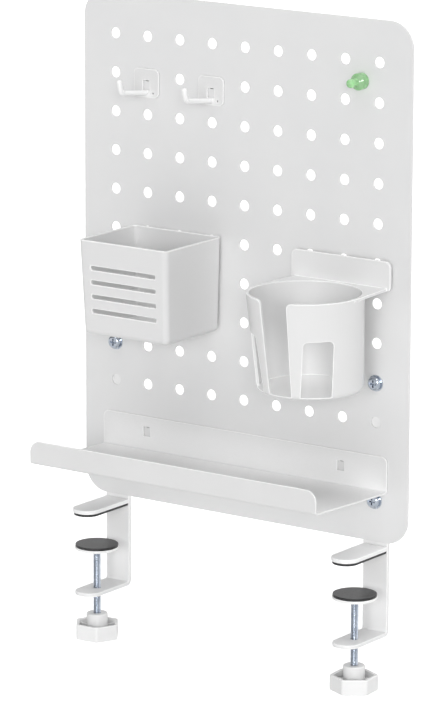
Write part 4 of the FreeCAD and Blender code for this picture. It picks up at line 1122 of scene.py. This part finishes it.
@dataclass(frozen=True)
class Sun:
    """A wide, far, soft light, placed by the bearing and the height that it comes from, in degrees."""

    name: str
    azimuth: float
    elevation: float
    spread: float
    strength: float

    def build(self) -> None:
        """Adds the light to the scene."""
        light = bpy.data.lights.new(self.name, "SUN")
        light.angle, light.energy = math.radians(self.spread), self.strength
        lamp = bpy.data.objects.new(self.name, light)
        turn, rise = math.radians(self.azimuth), math.radians(self.elevation)
        towards = Vector((math.sin(turn) * math.cos(rise), -math.cos(turn) * math.cos(rise), math.sin(rise)))
        lamp.rotation_euler = (-towards).to_track_quat("-Z", "Y").to_euler()
        bpy.context.scene.collection.objects.link(lamp)


@dataclass
class Studio:
    """Pale floor clear of the lowered knobs, soft lights, white surroundings and the camera.

    Angles are in degrees. Each flat is its first and last bearing and its tone.
    """

    floor_level: float = -131.0 * MM
    floor_half: float = 12.0
    surround: float = 0.27
    mirrored: float = 0.95
    flat_blur: float = 4.0
    flats: tuple[tuple[float, float, float], ...] = ((8.0, 60.0, 0.04), (148.0, 168.0, 0.10))
    camera_place: tuple[float, float, float] = (1.90497, -2.71490, 0.89224)
    camera_yaw: float = 35.50
    camera_pitch: float = 12.946
    camera_roll: float = 0.12
    lens: float = 224.38
    sensor_width: float = 36.0
    clip: tuple[float, float] = (0.1, 100.0)
    lamps: tuple[Sun, ...] = (
        Sun("overhead_light", 20.0, 80.0, 60.0, 1.40),
        Sun("front_light", 17.0, 10.0, 20.0, 0.85),
        Sun("near_fill", 38.0, 13.0, 14.0, 0.70),
        Sun("side_fill", 66.0, 18.0, 50.0, 0.28),
        Sun("back_light", 142.0, 24.0, 50.0, 0.70),
    )

    def build(self) -> None:
        """Builds floor, lights, surroundings and camera."""
        mesh = bpy.data.meshes.new("studio_floor")
        half = self.floor_half
        turns = ((-half, -half), (half, -half), (half, half), (-half, half))
        rim = [(x, y, self.floor_level) for x, y in turns]
        mesh.from_pydata(rim, [], [(0, 1, 2, 3)])
        floor = bpy.data.objects.new("studio_floor", mesh)
        bpy.context.scene.collection.objects.link(floor)
        mesh.materials.append(PaleFloor().material())
        for lamp in self.lamps:
            lamp.build()
        self.build_room()
        bpy.context.scene.view_settings.view_transform = "Standard"
        self.build_camera()

    def build_room(self) -> None:
        """Adds the room: plain white to the camera, dim to matt surfaces, and with dark flats to gloss."""
        world = bpy.data.worlds.new("white_room")
        world.use_nodes = True
        nodes, links = world.node_tree.nodes, world.node_tree.links
        dim = nodes["Background"]
        dim.inputs["Color"].default_value = WHITE
        dim.inputs["Strength"].default_value = self.surround
        mirrored = nodes.new("ShaderNodeBackground")
        mirrored.inputs["Strength"].default_value = self.mirrored
        links.new(self.build_flats(nodes, links), mirrored.inputs["Color"])
        plain = nodes.new("ShaderNodeBackground")
        plain.inputs["Color"].default_value = WHITE
        rays, clear_or_gloss = nodes.new("ShaderNodeLightPath"), nodes.new("ShaderNodeMath")
        clear_or_gloss.operation = "MAXIMUM"
        for place, kind in enumerate(("Is Glossy Ray", "Is Transmission Ray")):
            links.new(rays.outputs[kind], clear_or_gloss.inputs[place])
        room = dim.outputs["Background"]
        choices = ((clear_or_gloss.outputs["Value"], mirrored), (rays.outputs["Is Camera Ray"], plain))
        for choice, other in choices:
            mix = nodes.new("ShaderNodeMixShader")
            for place, source in enumerate((choice, room, other.outputs["Background"])):
                links.new(source, mix.inputs[place])
            room = mix.outputs["Shader"]
        links.new(room, nodes["World Output"].inputs["Surface"])
        bpy.context.scene.world = world

    def build_flats(self, nodes: bpy.types.Nodes, links: bpy.types.NodeLinks) -> Socket:
        """Adds the white walls with the dark upright flats, by bearing.

        Args:
            nodes: The world's nodes.
            links: The world's links.

        Returns:
            The walls' colour.
        """
        bearing = nodes.new("ShaderNodeTexGradient")
        bearing.gradient_type = "RADIAL"
        links.new(nodes.new("ShaderNodeTexCoord").outputs["Generated"], bearing.inputs["Vector"])
        walls = nodes.new("ShaderNodeValToRGB")
        marks = walls.color_ramp.elements
        marks[0].color = marks[1].color = WHITE
        for start, end, level in self.flats:
            blur = self.flat_blur
            for place, tone in ((start - blur, 1.0), (start, level), (end, level), (end + blur, 1.0)):
                marks.new(place / 360.0 % 1.0).color = grey(tone)
        links.new(bearing.outputs["Fac"], walls.inputs["Fac"])
        return walls.outputs["Color"]

    def build_camera(self) -> None:
        """Adds the camera and makes it the scene's own."""
        data = bpy.data.cameras.new("camera")
        data.lens, data.sensor_width = self.lens, self.sensor_width
        data.clip_start, data.clip_end = self.clip
        camera = bpy.data.objects.new("camera", data)
        turn = (Matrix.Rotation(math.radians(self.camera_yaw), 4, "Z")
                @ Matrix.Rotation(math.radians(90.0 - self.camera_pitch), 4, "X")
                @ Matrix.Rotation(math.radians(self.camera_roll), 4, "Z"))
        camera.matrix_world = Matrix.Translation(self.camera_place) @ turn
        bpy.context.scene.collection.objects.link(camera)
        bpy.context.scene.camera = camera


def main() -> None:
    logging.basicConfig(level=logging.INFO, format="%(name)s: %(message)s")
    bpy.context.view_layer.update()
    shelf = FinishShelf()
    Pegboard().build(shelf)
    for side in Side:
        DeskClamp(side).build(shelf)
    PanelFasteners().build(shelf)
    crisp, sheet, moulded = (EdgeRound(width=width * MM) for width in (0.2, 0.22, 0.3))
    hung = [
        HungPart("pen_box", "pen_box", Finish.MOULDED_WHITE, crisp),
        HungPart("cup_holder", "cup_holder", Finish.CUP_WHITE, moulded),
        HungPart("tray", "tray", Finish.SHEET_COAT, sheet),
    ]
    for side in Side:
        hook = side.word + "_hook"
        hung.append(HungPart(hook + "_plate", hook, Finish.SHEET_COAT, sheet))
        hung.append(HungPart(hook + "_rod", hook, Finish.BRIGHT_COAT, sheet))
    hung.append(HungPart("pin_cap", "push_pin", Finish.GREEN_PLASTIC, sheet))
    hung.append(HungPart("pin_magnet", "push_pin", Finish.NICKEL_MAGNET, sheet))
    for part in hung:
        part.build(shelf)
    Studio().build()


if __name__ == "__main__":
    main()
